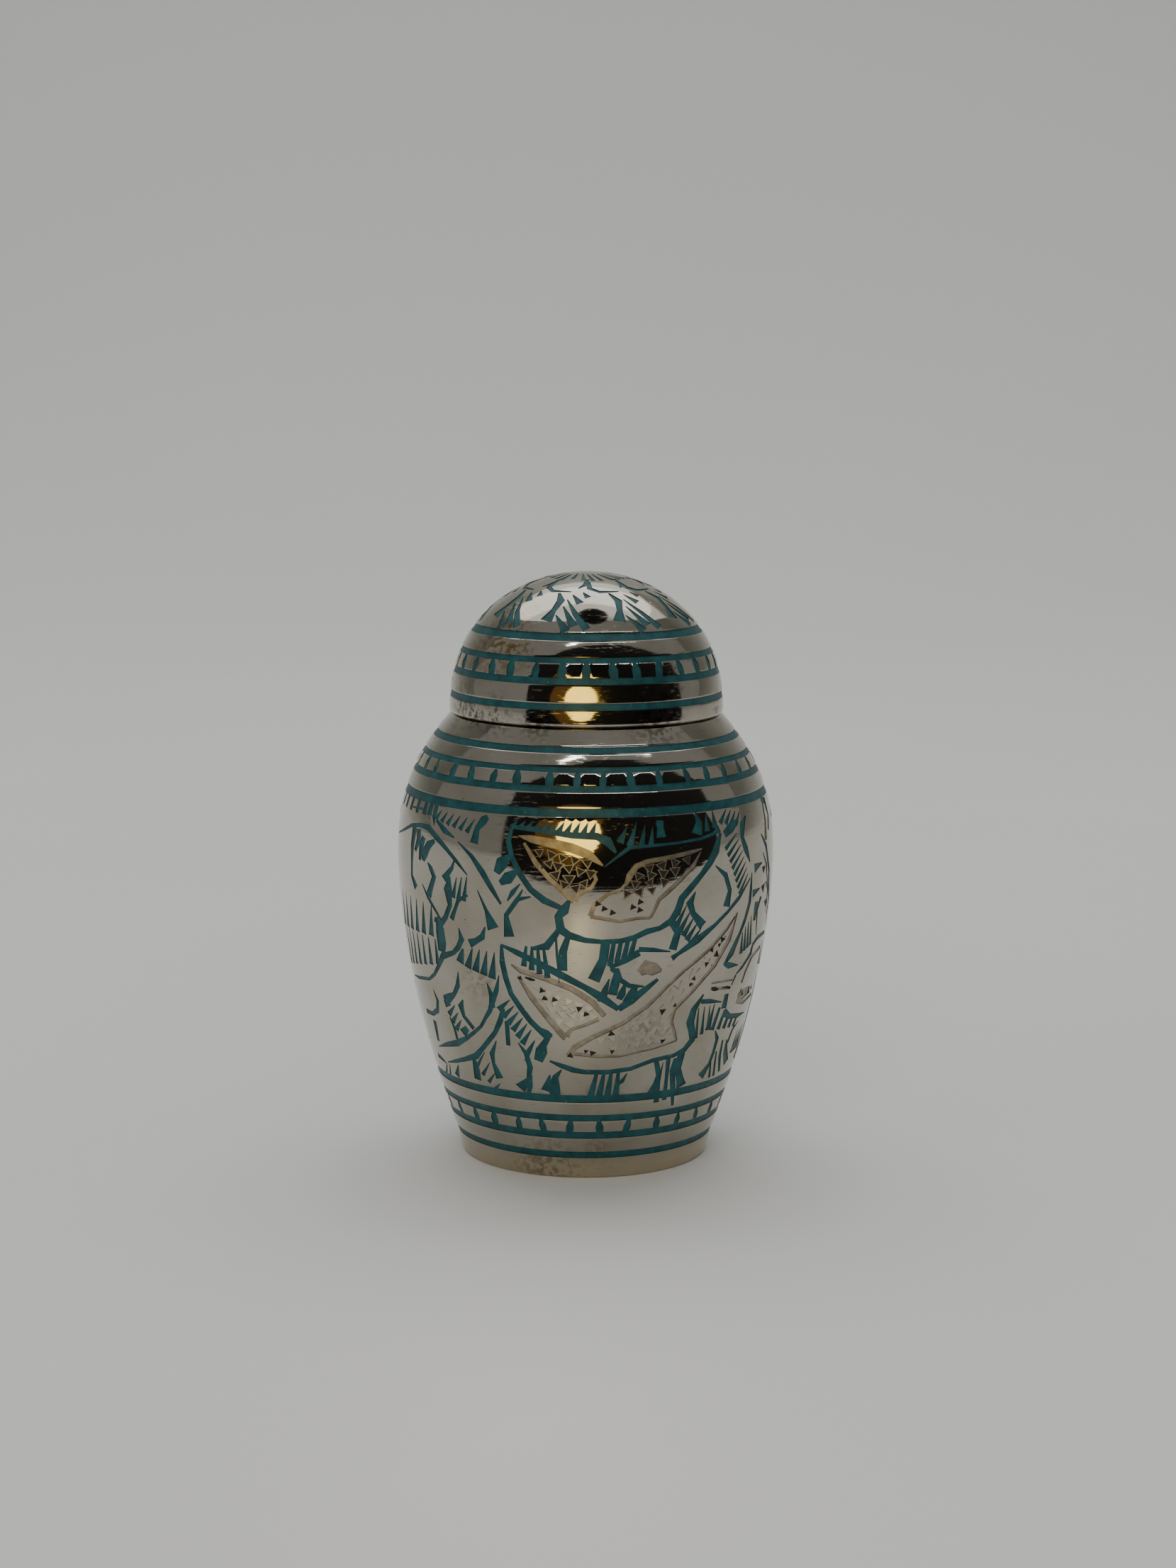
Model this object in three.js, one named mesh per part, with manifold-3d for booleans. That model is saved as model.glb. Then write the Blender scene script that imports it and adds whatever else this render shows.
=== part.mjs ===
// Keepsake cremation urn: a small turned brass jar, nickel plated and hand engraved, closed by a domed lid.
// Lengths are in millimetres and angles in degrees. The axis is +Z, the underside lies at z = 0, and the
// engraved doves that show from the front face -Y.
import * as THREE from "three";
import { mergeVertices } from "three/addons/utils/BufferGeometryUtils.js";
import Module from "manifold-3d";

const wasm = await Module();
wasm.setup();

// Body
const footRadius = 15.8;
const footBandHeight = 2.6;
const footBandRadius = 16.4;
const bellyRadius = 24;
const bellyHeight = 39;
const seatHeight = 56.9;
const seatEdgeRadius = 17;
const flankFullness = 1.75;
const shoulderFullness = 2.35;
const bodyWall = 1.6;
const floorThickness = 2;

// Neck that the lid goes over
const neckRadius = 14.4;
const neckHeight = 6;
const neckWall = 1.6;

// Lid
const lidRadius = 17.4;
const lidHeight = 17.6;
const domeFullness = 2.3;
const domeWall = 1.6;
const lidClearance = 0.3;

// Engraving
const ringDepth = 0.35;
const chipDepth = 0.35;
const lineDepth = 0.3;
const ladderMargin = 0.1;
const strokeStep = 6;
const cutterLift = 1;

// Facets round the axis
const facets = 32;

// Outlines: the outside radius at a height, before any ring is cut.
const share = (value, from, to) => (value - from) / (to - from);

function bodyRadiusAt(z) {
  if (z <= footBandHeight)
    return footRadius + (footBandRadius - footRadius) * share(z, 0, footBandHeight);
  if (z <= bellyHeight)
    return (
      bellyRadius -
      (bellyRadius - footBandRadius) * share(z, bellyHeight, footBandHeight) ** flankFullness
    );
  return (
    bellyRadius -
    (bellyRadius - seatEdgeRadius) * share(z, bellyHeight, seatHeight) ** shoulderFullness
  );
}

function domeRadiusAt(z, radius, height) {
  const rise = THREE.MathUtils.clamp(share(z, seatHeight, seatHeight + height), 0, 1);
  return radius * Math.sqrt(1 - rise ** domeFullness);
}

const lidRadiusAt = (z) => domeRadiusAt(z, lidRadius, lidHeight);

// Rings turned into the outside: height of the middle as a share of its own piece, and width in height.
const bodyRings = [
  { z: 0.056 * seatHeight, width: 0.9 },
  { z: 0.105 * seatHeight, width: 0.9 },
  { z: 0.147 * seatHeight, width: 0.85 },
  { z: 0.1935 * seatHeight, width: 1 },
  { z: 0.831 * seatHeight, width: 1 },
  { z: 0.879 * seatHeight, width: 0.8 },
  { z: 0.917 * seatHeight, width: 0.66 },
  { z: 0.9555 * seatHeight, width: 0.75 },
];
const lidRings = [
  { z: seatHeight + 0.14 * lidHeight, width: 0.85 },
  { z: seatHeight + 0.314 * lidHeight, width: 0.84 },
  { z: seatHeight + 0.455 * lidHeight, width: 0.7 },
  { z: seatHeight + 0.608 * lidHeight, width: 0.9 },
];

// Ladder bands: short upright cuts on the land between two rings.
const footLadder = { below: bodyRings[1], above: bodyRings[2], count: 34, width: 0.75 };
const shoulderLadder = { below: bodyRings[5], above: bodyRings[6], count: 40, width: 0.8 };
const lidLadder = { below: lidRings[1], above: lidRings[2], count: 32, width: 0.85 };

// Main lines of the engraved scene, as [degrees round from the front, height as a share of the body].
const panelLines = [
  // panel of the upper dove: top left, top right, left flank, and underside up to the right corner
  [[-22.5, 0.797], [-6, 0.786], [3, 0.782], [8.5, 0.754]],
  [[4.5, 0.729], [12, 0.766], [30, 0.764], [43, 0.784]],
  [[-22.5, 0.797], [-21.5, 0.736], [-16.5, 0.684], [-7.5, 0.634]],
  [[-5.5, 0.643], [-8, 0.608], [-5.5, 0.573], [7, 0.557], [26.5, 0.595], [29.5, 0.643], [43.5, 0.784]],
  // panel of the lower dove: back of the left wing, notch at the neck, right wing, left flank, underside
  [[-26, 0.54], [-8, 0.49], [10.5, 0.408], [23, 0.488]],
  [[27.5, 0.517], [37, 0.554], [56, 0.643]],
  [[-26, 0.54], [-24.5, 0.464], [-20, 0.394], [-11, 0.34]],
  [[-12, 0.284], [0, 0.258], [27, 0.288], [38, 0.31], [37.5, 0.369], [52, 0.51], [59, 0.68]],
];
const wingLines = [
  // upper dove: left wing, right wing, body
  [[-19.6, 0.775], [-4, 0.76], [4.8, 0.724]],
  [[-17.6, 0.763], [-10.4, 0.692], [-2.8, 0.646]],
  [[12, 0.692], [16, 0.726], [36.4, 0.745]],
  [[35.5, 0.74], [24, 0.656], [20, 0.606]],
  [[1.6, 0.612], [3.5, 0.648], [11.5, 0.68]],
  // lower dove: left wing, right wing down to the tail, body
  [[-22.8, 0.5], [-8, 0.458], [6, 0.392]],
  [[-20.4, 0.473], [-12, 0.385], [-5.6, 0.341]],
  [[52, 0.587], [32, 0.48], [20, 0.411], [-5.2, 0.297]],
  [[50, 0.54], [36, 0.429], [29.6, 0.37], [32.5, 0.325]],
  [[-3, 0.3], [31.5, 0.319]],
];
const blossomLines = [
  // round blossom beside the doves: crown, cup, and the two stems that sweep under it
  [[-80, 0.735], [-66, 0.766], [-54, 0.76], [-37, 0.678]],
  [[-49.5, 0.56], [-51, 0.47], [-60, 0.427], [-72, 0.415]],
  [[-31.5, 0.433], [-33, 0.37], [-42, 0.32], [-64, 0.268]],
  [[-27.5, 0.394], [-34, 0.33], [-44, 0.275], [-58, 0.247]],
];
const panelLineWidth = 0.8;
const wingLineWidth = 0.5;
const scenesAround = 2;

// Leaf stems that stand round the dome, each through three places: degrees from its middle, and a height as
// a share of the lid, which stays the same when the urn is made larger.
const domeStemPlaces = [[-4, 0.92], [3, 0.84], [-2, 0.72]];
const domeStemWidth = 0.8;
const domeStems = 9;

// A solid of revolution round +Z from [radius, height] points that start and end on the axis.
function turned(points) {
  const profile = points.map(([radius, z]) => new THREE.Vector2(radius, z));
  const geometry = new THREE.LatheGeometry(profile, facets);
  geometry.rotateX(Math.PI / 2);
  return solidFrom(geometry);
}

function solidFrom(geometry) {
  const bare = geometry.clone();
  bare.deleteAttribute("normal");
  bare.deleteAttribute("uv");
  const merged = mergeVertices(bare, 1e-4);
  const solid = new wasm.Manifold(
    new wasm.Mesh({
      numProp: 3,
      vertProperties: new Float32Array(merged.attributes.position.array),
      triVerts: new Uint32Array(merged.index.array),
    }),
  );
  if (solid.isEmpty()) throw new Error("a shape didn't close");
  return solid;
}

// Outside points of a piece from low to high, with each ring as a V groove.
function grooved(radiusAt, plainHeights, rings) {
  const points = plainHeights.map((z) => [radiusAt(z), z]);
  for (const { z, width } of rings) {
    points.push([radiusAt(z - width / 2), z - width / 2]);
    points.push([radiusAt(z) - ringDepth, z]);
    points.push([radiusAt(z + width / 2), z + width / 2]);
  }
  return points.sort((a, b) => a[1] - b[1]);
}

// A cutter that follows a path of [degrees, height] over the surface: a straight bar, laid along the curve
// through the path and rolled round the piece.
function graver(radiusAt, path, width) {
  const corners = path.map(([degrees, z]) => {
    return new THREE.Vector2(THREE.MathUtils.degToRad(degrees) * radiusAt(z), z);
  });
  const curve = new THREE.SplineCurve(corners);
  const steps = Math.ceil(curve.getLength() / strokeStep);
  const geometry = new THREE.BoxGeometry(1, width, lineDepth + cutterLift, steps, 1, 1);
  const position = geometry.attributes.position;
  for (let i = 0; i < position.count; i++) {
    const t = position.getX(i) + 0.5;
    const way = curve.getTangentAt(t);
    const point = curve.getPointAt(t);
    const z = point.y + way.x * position.getY(i);
    const ground = radiusAt(z);
    const angle = (point.x - way.y * position.getY(i)) / ground;
    const radius = ground + position.getZ(i) + (cutterLift - lineDepth) / 2;
    position.setXYZ(i, radius * Math.sin(angle), -radius * Math.cos(angle), z);
  }
  return solidFrom(geometry);
}

// The upright chips of a ladder band: four-sided points pressed in on the land between two rings.
function ladderCutters(radiusAt, { below, above, count, width }) {
  const low = below.z + below.width / 2 + ladderMargin;
  const high = above.z - above.width / 2 - ladderMargin;
  const z = (low + high) / 2;
  const lean = Math.atan2(radiusAt(low) - radiusAt(high), high - low);
  const spread = (chipDepth + cutterLift) / chipDepth;
  const cutters = [];
  for (let i = 0; i < count; i++) {
    const geometry = new THREE.ConeGeometry(Math.SQRT1_2, 1, 4);
    geometry.rotateY(Math.PI / 4);
    geometry.scale(width * spread, chipDepth + cutterLift, (high - low) * spread);
    geometry.translate(0, -(chipDepth + cutterLift) / 2 + chipDepth, 0);
    geometry.rotateX(-lean);
    geometry.translate(0, -radiusAt(z), z);
    geometry.rotateZ((2 * Math.PI * (i + 0.5)) / count);
    cutters.push(solidFrom(geometry));
  }
  return cutters;
}

// The engraved scene, repeated round the body.
function sceneCutters() {
  const cutters = [];
  for (let i = 0; i < scenesAround; i++) {
    const turn = (360 * i) / scenesAround;
    const place = (path) => path.map(([degrees, part]) => [degrees + turn, part * seatHeight]);
    for (const line of [...panelLines, ...blossomLines])
      cutters.push(graver(bodyRadiusAt, place(line), panelLineWidth));
    for (const line of wingLines) cutters.push(graver(bodyRadiusAt, place(line), wingLineWidth));
  }
  return cutters;
}

// The leaf stems on the dome.
function stemCutters() {
  const cutters = [];
  for (let i = 0; i < domeStems; i++) {
    const turn = (360 * (i + 0.5)) / domeStems;
    const path = domeStemPlaces.map(([degrees, part]) => [degrees + turn, seatHeight + part * lidHeight]);
    cutters.push(graver(lidRadiusAt, path, domeStemWidth));
  }
  return cutters;
}

function engraved(solid, cutters) {
  return solid.subtract(wasm.Manifold.union(cutters));
}

function meshOf(name, solid, color) {
  const { vertProperties, triVerts } = solid.getMesh();
  const geometry = new THREE.BufferGeometry();
  geometry.setAttribute("position", new THREE.BufferAttribute(new Float32Array(vertProperties), 3));
  geometry.setIndex(new THREE.BufferAttribute(new Uint32Array(triVerts), 1));
  const material = new THREE.MeshStandardMaterial({ color, roughness: 0.2, metalness: 1 });
  const mesh = new THREE.Mesh(geometry, material);
  mesh.name = name;
  return mesh;
}

// Body: hollow from the floor up, with the neck standing on the flat seat.
function urnBody() {
  const flankHeights = [0.47, 0.75].map((s) => s * bellyHeight);
  const shoulderMiddle = (bellyHeight + bodyRings[4].z) / 2;
  const outside = grooved(
    bodyRadiusAt,
    [0, ...flankHeights, bellyHeight, shoulderMiddle, seatHeight],
    bodyRings,
  );
  const neckTop = seatHeight + neckHeight;
  const boreRadius = neckRadius - neckWall;
  const crownHeight = seatHeight - bodyWall;
  const insideShares = [1, 0.9, 0.78, 0.6, 0.4, 0.2, 0];
  const inside = insideShares.map((s) => {
    const z = floorThickness + s * (crownHeight - bodyWall - floorThickness);
    return [bodyRadiusAt(z) - bodyWall, z];
  });
  return engraved(
    turned([
      [0, 0],
      ...outside,
      [neckRadius, seatHeight],
      [neckRadius, neckTop],
      [boreRadius, neckTop],
      [boreRadius, crownHeight],
      ...inside,
      [0, floorThickness],
    ]),
    [
      ...ladderCutters(bodyRadiusAt, footLadder),
      ...ladderCutters(bodyRadiusAt, shoulderLadder),
      ...sceneCutters(),
    ],
  );
}

// Lid: a straight socket over the neck, then a domed hollow under an even wall.
function urnLid() {
  const lidTop = seatHeight + lidHeight;
  const domeShares = [0.73, 0.83, 0.91, 0.965, 0.992];
  const outside = grooved(
    lidRadiusAt,
    [seatHeight, ...domeShares.map((s) => seatHeight + s * lidHeight)],
    lidRings,
  );
  const socketRadius = neckRadius + lidClearance;
  const socketTop = seatHeight + neckHeight + lidClearance;
  const hollowTop = lidTop - domeWall;
  const hollowShares = [0, 0.4, 0.7, 0.9];
  const hollow = hollowShares.map((s) => {
    const z = socketTop + s * (hollowTop - socketTop);
    const radius = domeRadiusAt(z, lidRadius - domeWall, lidHeight - domeWall);
    return [Math.min(socketRadius, radius), z];
  });
  return engraved(
    turned([
      [0, hollowTop],
      ...hollow.reverse(),
      [socketRadius, seatHeight],
      ...outside,
      [0, lidTop],
    ]),
    [...ladderCutters(lidRadiusAt, lidLadder), ...stemCutters()],
  );
}

const urn = new THREE.Group();
urn.add(meshOf("urn_body", urnBody(), 0xc9c1b4));
urn.add(meshOf("lid", urnLid(), 0xc9c1b4));

export default urn;
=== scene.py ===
"""Keepsake cremation urn: turned brass with a polished nickel plate, hand-engraved doves and teal enamel."""
import math
import random

import bmesh
import bpy
from mathutils import Matrix, Vector
from mathutils.geometry import delaunay_2d_cdt


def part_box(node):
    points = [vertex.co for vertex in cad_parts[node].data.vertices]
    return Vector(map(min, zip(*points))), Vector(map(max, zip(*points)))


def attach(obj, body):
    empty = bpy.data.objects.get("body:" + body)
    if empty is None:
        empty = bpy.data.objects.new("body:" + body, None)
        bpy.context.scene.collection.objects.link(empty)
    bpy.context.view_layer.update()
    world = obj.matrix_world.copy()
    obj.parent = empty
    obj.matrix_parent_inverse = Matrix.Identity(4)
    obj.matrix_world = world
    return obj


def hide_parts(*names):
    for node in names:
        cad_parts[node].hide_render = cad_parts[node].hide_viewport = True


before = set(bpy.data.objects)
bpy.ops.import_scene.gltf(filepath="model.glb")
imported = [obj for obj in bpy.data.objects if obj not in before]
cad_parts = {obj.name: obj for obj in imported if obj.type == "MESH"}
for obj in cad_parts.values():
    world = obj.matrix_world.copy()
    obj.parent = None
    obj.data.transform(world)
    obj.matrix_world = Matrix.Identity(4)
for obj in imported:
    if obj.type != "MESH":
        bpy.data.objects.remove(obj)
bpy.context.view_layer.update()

# Sizes in millimetres, from the frame where it has them
MM = 0.001
_, body_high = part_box("urn_body")
lid_low, lid_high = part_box("lid")
BELLY_RADIUS = body_high[0] / MM
SEAT_HEIGHT = lid_low[2] / MM
NECK_TOP = body_high[2] / MM
LID_RADIUS = lid_high[0] / MM
LID_TOP = lid_high[2] / MM
LID_HEIGHT = LID_TOP - SEAT_HEIGHT

FOOT_RADIUS = 15.8
FOOT_BAND_HEIGHT = 2.6
FOOT_BAND_RADIUS = 16.4
BELLY_HEIGHT = 39
SEAT_EDGE_RADIUS = 17
FLANK_FULLNESS = 1.75
SHOULDER_FULLNESS = 2.35
DOME_FULLNESS = 2.3
WALL = 1.6
FLOOR = 2
NECK_RADIUS = 14.4
NECK_CHAMFER = 0.4
LID_CLEARANCE = 0.3
LEDGE = 0.1

# Depths of the engraving. A facet is all but level with the plate at its tip: it has that share of the depth
ENAMEL_DEPTH = 0.1
BARE_DEPTH = 0.08
FACET_DEPTH = 0.09
FACET_TIP = 0.12

# The plate rolls in beside each ring, from this far off
LIP_DEPTH = 0.035
LIP_WIDTH = 0.18
LIP_SHARES = (0.3, 0.65, 1)

# Weights of the graver's lines against the widths that are given for them, and the thinnest line
LINE_WEIGHT = 1.28
HATCH_WEIGHT = 0.8
DOME_WEIGHT = 1.2
THINNEST_CUT = 0.05

# A chip's corners, each as its direction in degrees and its reach as a share of the chip's size
CHIP_CORNERS = ((90, 0.62), (205, 0.6), (335, 0.66))
CHIP_FLOOR = 0.7

# What each face of an engraved skin is. A facet is bare too, but cut to a slope
PLATE = 0
ENAMEL = 1
BARE = 2
GRIME = 3
FACET = 4

# How finely the skins are divided: degrees from column to column, and millimetres from row to row
COLUMN_STEP = 3
ROW_STEP = 1.1

# The step to either side that a slope is read from, the middle of the dome where the normal is upright,
# how near two points are the same, and the angle from which an edge is sharp
SLOPE_STEP = 0.01
APEX_RADIUS = 0.2
MERGE_DISTANCE = 0.0015
CREASE = math.radians(28)

# Enamel rings, as the heights of their two edges
BODY_RINGS = [
    (2.73, 3.64), (5.49, 6.44), (7.94, 8.81), (10.49, 11.53),
    (46.78, 47.82), (49.62, 50.42), (51.86, 52.52), (53.98, 54.74),
]
LID_RINGS = [(58.93, 59.78), (62.0, 62.84), (64.55, 65.26), (67.15, 68.05)]

# Ladder bands: lowest and highest place, the first tick's direction, ticks in a half turn, and their width
FOOT_LADDER = (6.3, 8.1, -4.8, 16, 0.8)
SHOULDER_LADDER = (50.2, 52, -3.4, 19, 0.85)
LID_LADDER = (62.75, 64.75, 0, 16, 0.9)

# Edges that the turner broke: the foot, the seat and the lid's rim
FOOT_EDGE = (-1, 0)
SEAT_EDGE = (SEAT_HEIGHT, SEAT_HEIGHT + 1)
RIM_EDGE = (SEAT_HEIGHT - 1, SEAT_HEIGHT)
EDGE_DEPTH = 0.16
EDGE_WIDTH = 0.4

# One half of the body runs from its first to its last degree. A ladder's tick stays clear of the ends
HALF_START = -99
HALF_END = 81
SEAM_MARGIN = 4.6


def body_outline(z):
    """radius of the body's outside at a height"""
    if z <= FOOT_BAND_HEIGHT:
        return FOOT_RADIUS + (FOOT_BAND_RADIUS - FOOT_RADIUS) * z / FOOT_BAND_HEIGHT
    if z <= BELLY_HEIGHT:
        share = (BELLY_HEIGHT - z) / (BELLY_HEIGHT - FOOT_BAND_HEIGHT)
        return BELLY_RADIUS - (BELLY_RADIUS - FOOT_BAND_RADIUS) * share ** FLANK_FULLNESS
    share = (z - BELLY_HEIGHT) / (SEAT_HEIGHT - BELLY_HEIGHT)
    return BELLY_RADIUS - (BELLY_RADIUS - SEAT_EDGE_RADIUS) * share ** SHOULDER_FULLNESS


def lip(z, skin):
    """how far the plate rolls in beside a ring or at an edge"""
    ring = min(max(low - z, z - high, 0) for low, high in skin.rings)
    edge = min(max(low - z, z - high, 0) for low, high in skin.edges)
    return LIP_DEPTH * max(0, 1 - ring / LIP_WIDTH) ** 2 + EDGE_DEPTH * max(0, 1 - edge / EDGE_WIDTH) ** 2


class BodySkin:
    """The body's outside. Its chart is rolled out flat: millimetres along the belly, and height."""

    rings = BODY_RINGS
    edges = [FOOT_EDGE, SEAT_EDGE]
    seamed = True
    along = BELLY_RADIUS * math.pi / 180

    def chart(self, degrees, z):
        return Vector((degrees * self.along, z))

    def outline(self, chart):
        return body_outline(chart.y), chart.y

    def degrees(self, chart):
        return chart.x / self.along

    def chart_of(self, point):
        return self.chart(math.degrees(math.atan2(point.x, -point.y)), point.z)

    def slope_step(self, chart):
        return Vector((0, SLOPE_STEP))


class LidSkin:
    """The lid's outside. Its chart is the dome pressed flat, with the apex in the middle."""

    rings = LID_RINGS
    edges = [RIM_EDGE]
    seamed = False

    def turn_of(self, z):
        rise = max(0, (z - SEAT_HEIGHT) / LID_HEIGHT)
        return math.asin(min(1, rise ** (DOME_FULLNESS / 2)))

    def chart(self, degrees, z):
        return self.polar(degrees, self.turn_of(z))

    def plan(self, degrees, radius):
        return self.polar(degrees, math.acos(radius / LID_RADIUS))

    def polar(self, degrees, turn):
        reach = LID_RADIUS * (math.pi / 2 - turn)
        angle = math.radians(degrees)
        return Vector((reach * math.sin(angle), -reach * math.cos(angle)))

    def outline(self, chart):
        turn = math.pi / 2 - chart.length / LID_RADIUS
        rise = max(0, math.sin(turn)) ** (2 / DOME_FULLNESS)
        return LID_RADIUS * math.cos(turn), SEAT_HEIGHT + LID_HEIGHT * rise

    def degrees(self, chart):
        return math.degrees(math.atan2(chart.x, -chart.y))

    def chart_of(self, point):
        rise = max(0, (point.z - SEAT_HEIGHT) / LID_HEIGHT) ** (DOME_FULLNESS / 2)
        turn = math.atan2(rise, math.hypot(point.x, point.y) / LID_RADIUS)
        return self.polar(math.degrees(math.atan2(point.x, -point.y)), turn)

    def slope_step(self, chart):
        return chart.normalized() * -SLOPE_STEP


def turned(radius, degrees, z):
    """the place at a radius, a direction round the axis and a height; 0 degrees is the front"""
    angle = math.radians(degrees)
    return Vector((radius * math.sin(angle), -radius * math.cos(angle), z))


def outward(low, high):
    """the outward normal of a step along the outline, between two places that start with radius and height"""
    rise = Vector((high[0] - low[0], high[1] - low[1])).normalized()
    return Vector((rise.y, -rise.x))


def turned_outline(skin, chart, with_lip=True):
    """radius and height of the skin at a place on its chart, and the outline's normal there"""
    radius, z = skin.outline(chart)
    if radius < APEX_RADIUS:
        return radius, z, Vector((0, 1))
    step = skin.slope_step(chart)
    normal = outward(skin.outline(chart - step), skin.outline(chart + step))
    if with_lip:
        depth = lip(z, skin)
        radius -= normal.x * depth
        z -= normal.y * depth
    return radius, z, normal


def placed(skin, chart, lift=0, with_lip=True):
    """the point in space for a place on the chart, with a lift off the skin"""
    radius, z, normal = turned_outline(skin, chart, with_lip)
    return turned(radius + normal.x * lift, skin.degrees(chart), z + normal.y * lift)


def skin_normal(skin, chart, with_lip=True):
    """the smooth normal at a place on the chart"""
    if skin.outline(chart)[0] < APEX_RADIUS:
        return Vector((0, 0, 1))
    step = skin.slope_step(chart)
    before = turned_outline(skin, chart - step, with_lip)
    after = turned_outline(skin, chart + step, with_lip)
    normal = outward(before, after)
    return turned(normal.x, skin.degrees(chart), normal.y)


# Cuts: each is what its faces are, and its outline on the chart
def cut(skin, kind, points, widths):
    """a graver's line through chart places, with its width at each of them"""
    spots = [placed(skin, point, with_lip=False) for point in points]
    last = len(spots) - 1
    left, right = [], []
    for i, (spot, width) in enumerate(zip(spots, widths)):
        way = spots[min(last, i + 1)] - spots[max(0, i - 1)]
        normal = skin_normal(skin, points[i], with_lip=False)
        side = normal.cross(way).normalized() * max(width * LINE_WEIGHT, THINNEST_CUT) / 2
        left.append(skin.chart_of(spot + side))
        right.append(skin.chart_of(spot - side))
    return kind, left + right[::-1]


def line(skin, places, kind=ENAMEL):
    """a cut through (degrees, height, width) places"""
    points = [skin.chart(degrees, z) for degrees, z, _ in places]
    return cut(skin, kind, points, [width for _, _, width in places])


def strokes(skin, drawn, kind=ENAMEL):
    """a cut for each list of (degrees, height, width) places"""
    return [line(skin, places, kind) for places in drawn]


def hatches(skin, rows):
    """rows of straight cuts that change evenly from first to last, each with its count and its two widths"""
    made = []
    for first, last, count, widths in rows:
        for i in range(count):
            share = i / (count - 1)
            places = []
            for start, finish, width in zip(first, last, widths):
                degrees, z = (a + (b - a) * share for a, b in zip(start, finish))
                places.append((degrees, z, width * HATCH_WEIGHT))
            made.append(line(skin, places))
    return made


def chip(skin, degrees, z, size, turn, kind):
    """one three-cornered chip"""
    middle = placed(skin, skin.chart(degrees, z), with_lip=False)
    angle = math.radians(degrees)
    across = Vector((math.cos(angle), math.sin(angle), 0))
    corners = []
    for corner, reach in CHIP_CORNERS:
        bearing = math.radians(corner + turn)
        offset = across * math.cos(bearing) + Vector((0, 0, math.sin(bearing)))
        corners.append(skin.chart_of(middle + offset * size * reach))
    return kind, corners


def grime_chips(skin, places, size, turn=20):
    """a dark chip at each (degrees, height)"""
    return [chip(skin, degrees, z, size, turn, GRIME) for degrees, z in places]


def facet_depth(corners, place):
    """depth of a facet's floor: deepest along its far side, and all but level with the plate at its tip"""
    middle = (corners[1] + corners[2]) / 2
    reach = middle - corners[0]
    return FACET_DEPTH * max(FACET_TIP, (place - corners[0]).dot(reach) / reach.length_squared)


def chip_rows(skin, kinds, rows, spacing, size, rng):
    """rows of chips, each row from one (degrees, height) to another; a second kind fills a chip's middle"""
    chips = []
    for (start, z_start), (end, z_end) in rows:
        count = max(1, round((end - start) / spacing))
        for i in range(count + 1):
            share = i / count
            degrees = start + (end - start) * share + rng.uniform(-0.25, 0.25)
            z = z_start + (z_end - z_start) * share + rng.uniform(-0.1, 0.1)
            turn = rng.uniform(-25, 25) + 180
            reach = size * rng.uniform(0.85, 1.15)
            for kind, part in zip(kinds, (1, CHIP_FLOOR)):
                chips.append(chip(skin, degrees, z, reach * part, turn, kind))
    return chips


def half_places(first, count):
    """directions of evenly spaced cuts on one half of the body, clear of its ends"""
    step = 180 / count
    turns = [first + step * i for i in range(-count, count)]
    turns = [turn for turn in turns if HALF_START <= turn < HALF_END]
    return [min(HALF_END - SEAM_MARGIN, max(HALF_START + SEAM_MARGIN, turn)) for turn in turns]


def ladder(skin, low, high, places, width, rng):
    """a band of upright leaf-shaped cuts"""
    cuts = []
    for place in places:
        degrees = place + rng.uniform(-1, 1)
        lean = rng.uniform(-0.7, 0.7)
        top = high + rng.uniform(-0.2, 0.25)
        bottom = low - rng.uniform(0, 0.3)
        size = width * rng.uniform(0.85, 1.15)
        cuts.append(line(skin, [(degrees - lean, bottom, size * 0.8), (degrees, (low + high) / 2, size),
                                (degrees + lean, top, size * 0.35)]))
    return cuts


def upper_dove(skin):
    """the dove in flight under the shoulder, in its enamel outline"""
    cuts = strokes(skin, [
        [(-22.4, 45.2, 0.35), (-23.2, 43.7, 0.6), (-22, 41.9, 0.55), (-19.2, 39.8, 0.6), (-16, 38, 0.6),
         (-12, 36.75, 0.7), (-7.2, 35.9, 0.5)],
        [(-4.7, 36.8, 0.35), (-6.2, 35.6, 1), (-7.8, 34.8, 0.8), (-7.2, 33.2, 0.9), (-4.8, 32.5, 0.75),
         (0, 31.9, 0.55), (4.8, 31.7, 0.45)],
        [(4.8, 31.7, 0.45), (10.4, 31.75, 0.5), (14.4, 32.1, 0.55), (18.4, 32.8, 0.6), (22.4, 33.1, 0.5),
         (26, 33.9, 0.7), (28, 35.1, 0.8)],
        [(27.6, 34.6, 0.8), (29.2, 36.6, 0.75), (32, 37.7, 0.7), (36, 39.25, 0.6), (39.2, 40.6, 0.75),
         (41.6, 41.9, 0.9), (44, 44, 0.35)],
        [(43.8, 44.5, 0.7), (41, 44, 0.35), (36, 43.6, 0.3), (28, 43.4, 0.25), (20, 43.3, 0.3),
         (12.8, 43.2, 0.4), (10.4, 42.5, 0.35), (5.2, 40.9, 0.1)],
        [(-22.6, 45.4, 0.35), (-16, 45.3, 0.55), (-10.4, 45, 0.5), (-4, 44.7, 0.6), (3.2, 44.6, 0.7),
         (6.4, 44, 0.9), (8.8, 42.6, 0.25)],
    ])
    return cuts + hatches(skin, [
        (((-22.6, 45.3), (-20.4, 46.3)), ((1.8, 44.9), (3, 46.2)), 11, (0.75, 0.06)),
    ])


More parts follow.
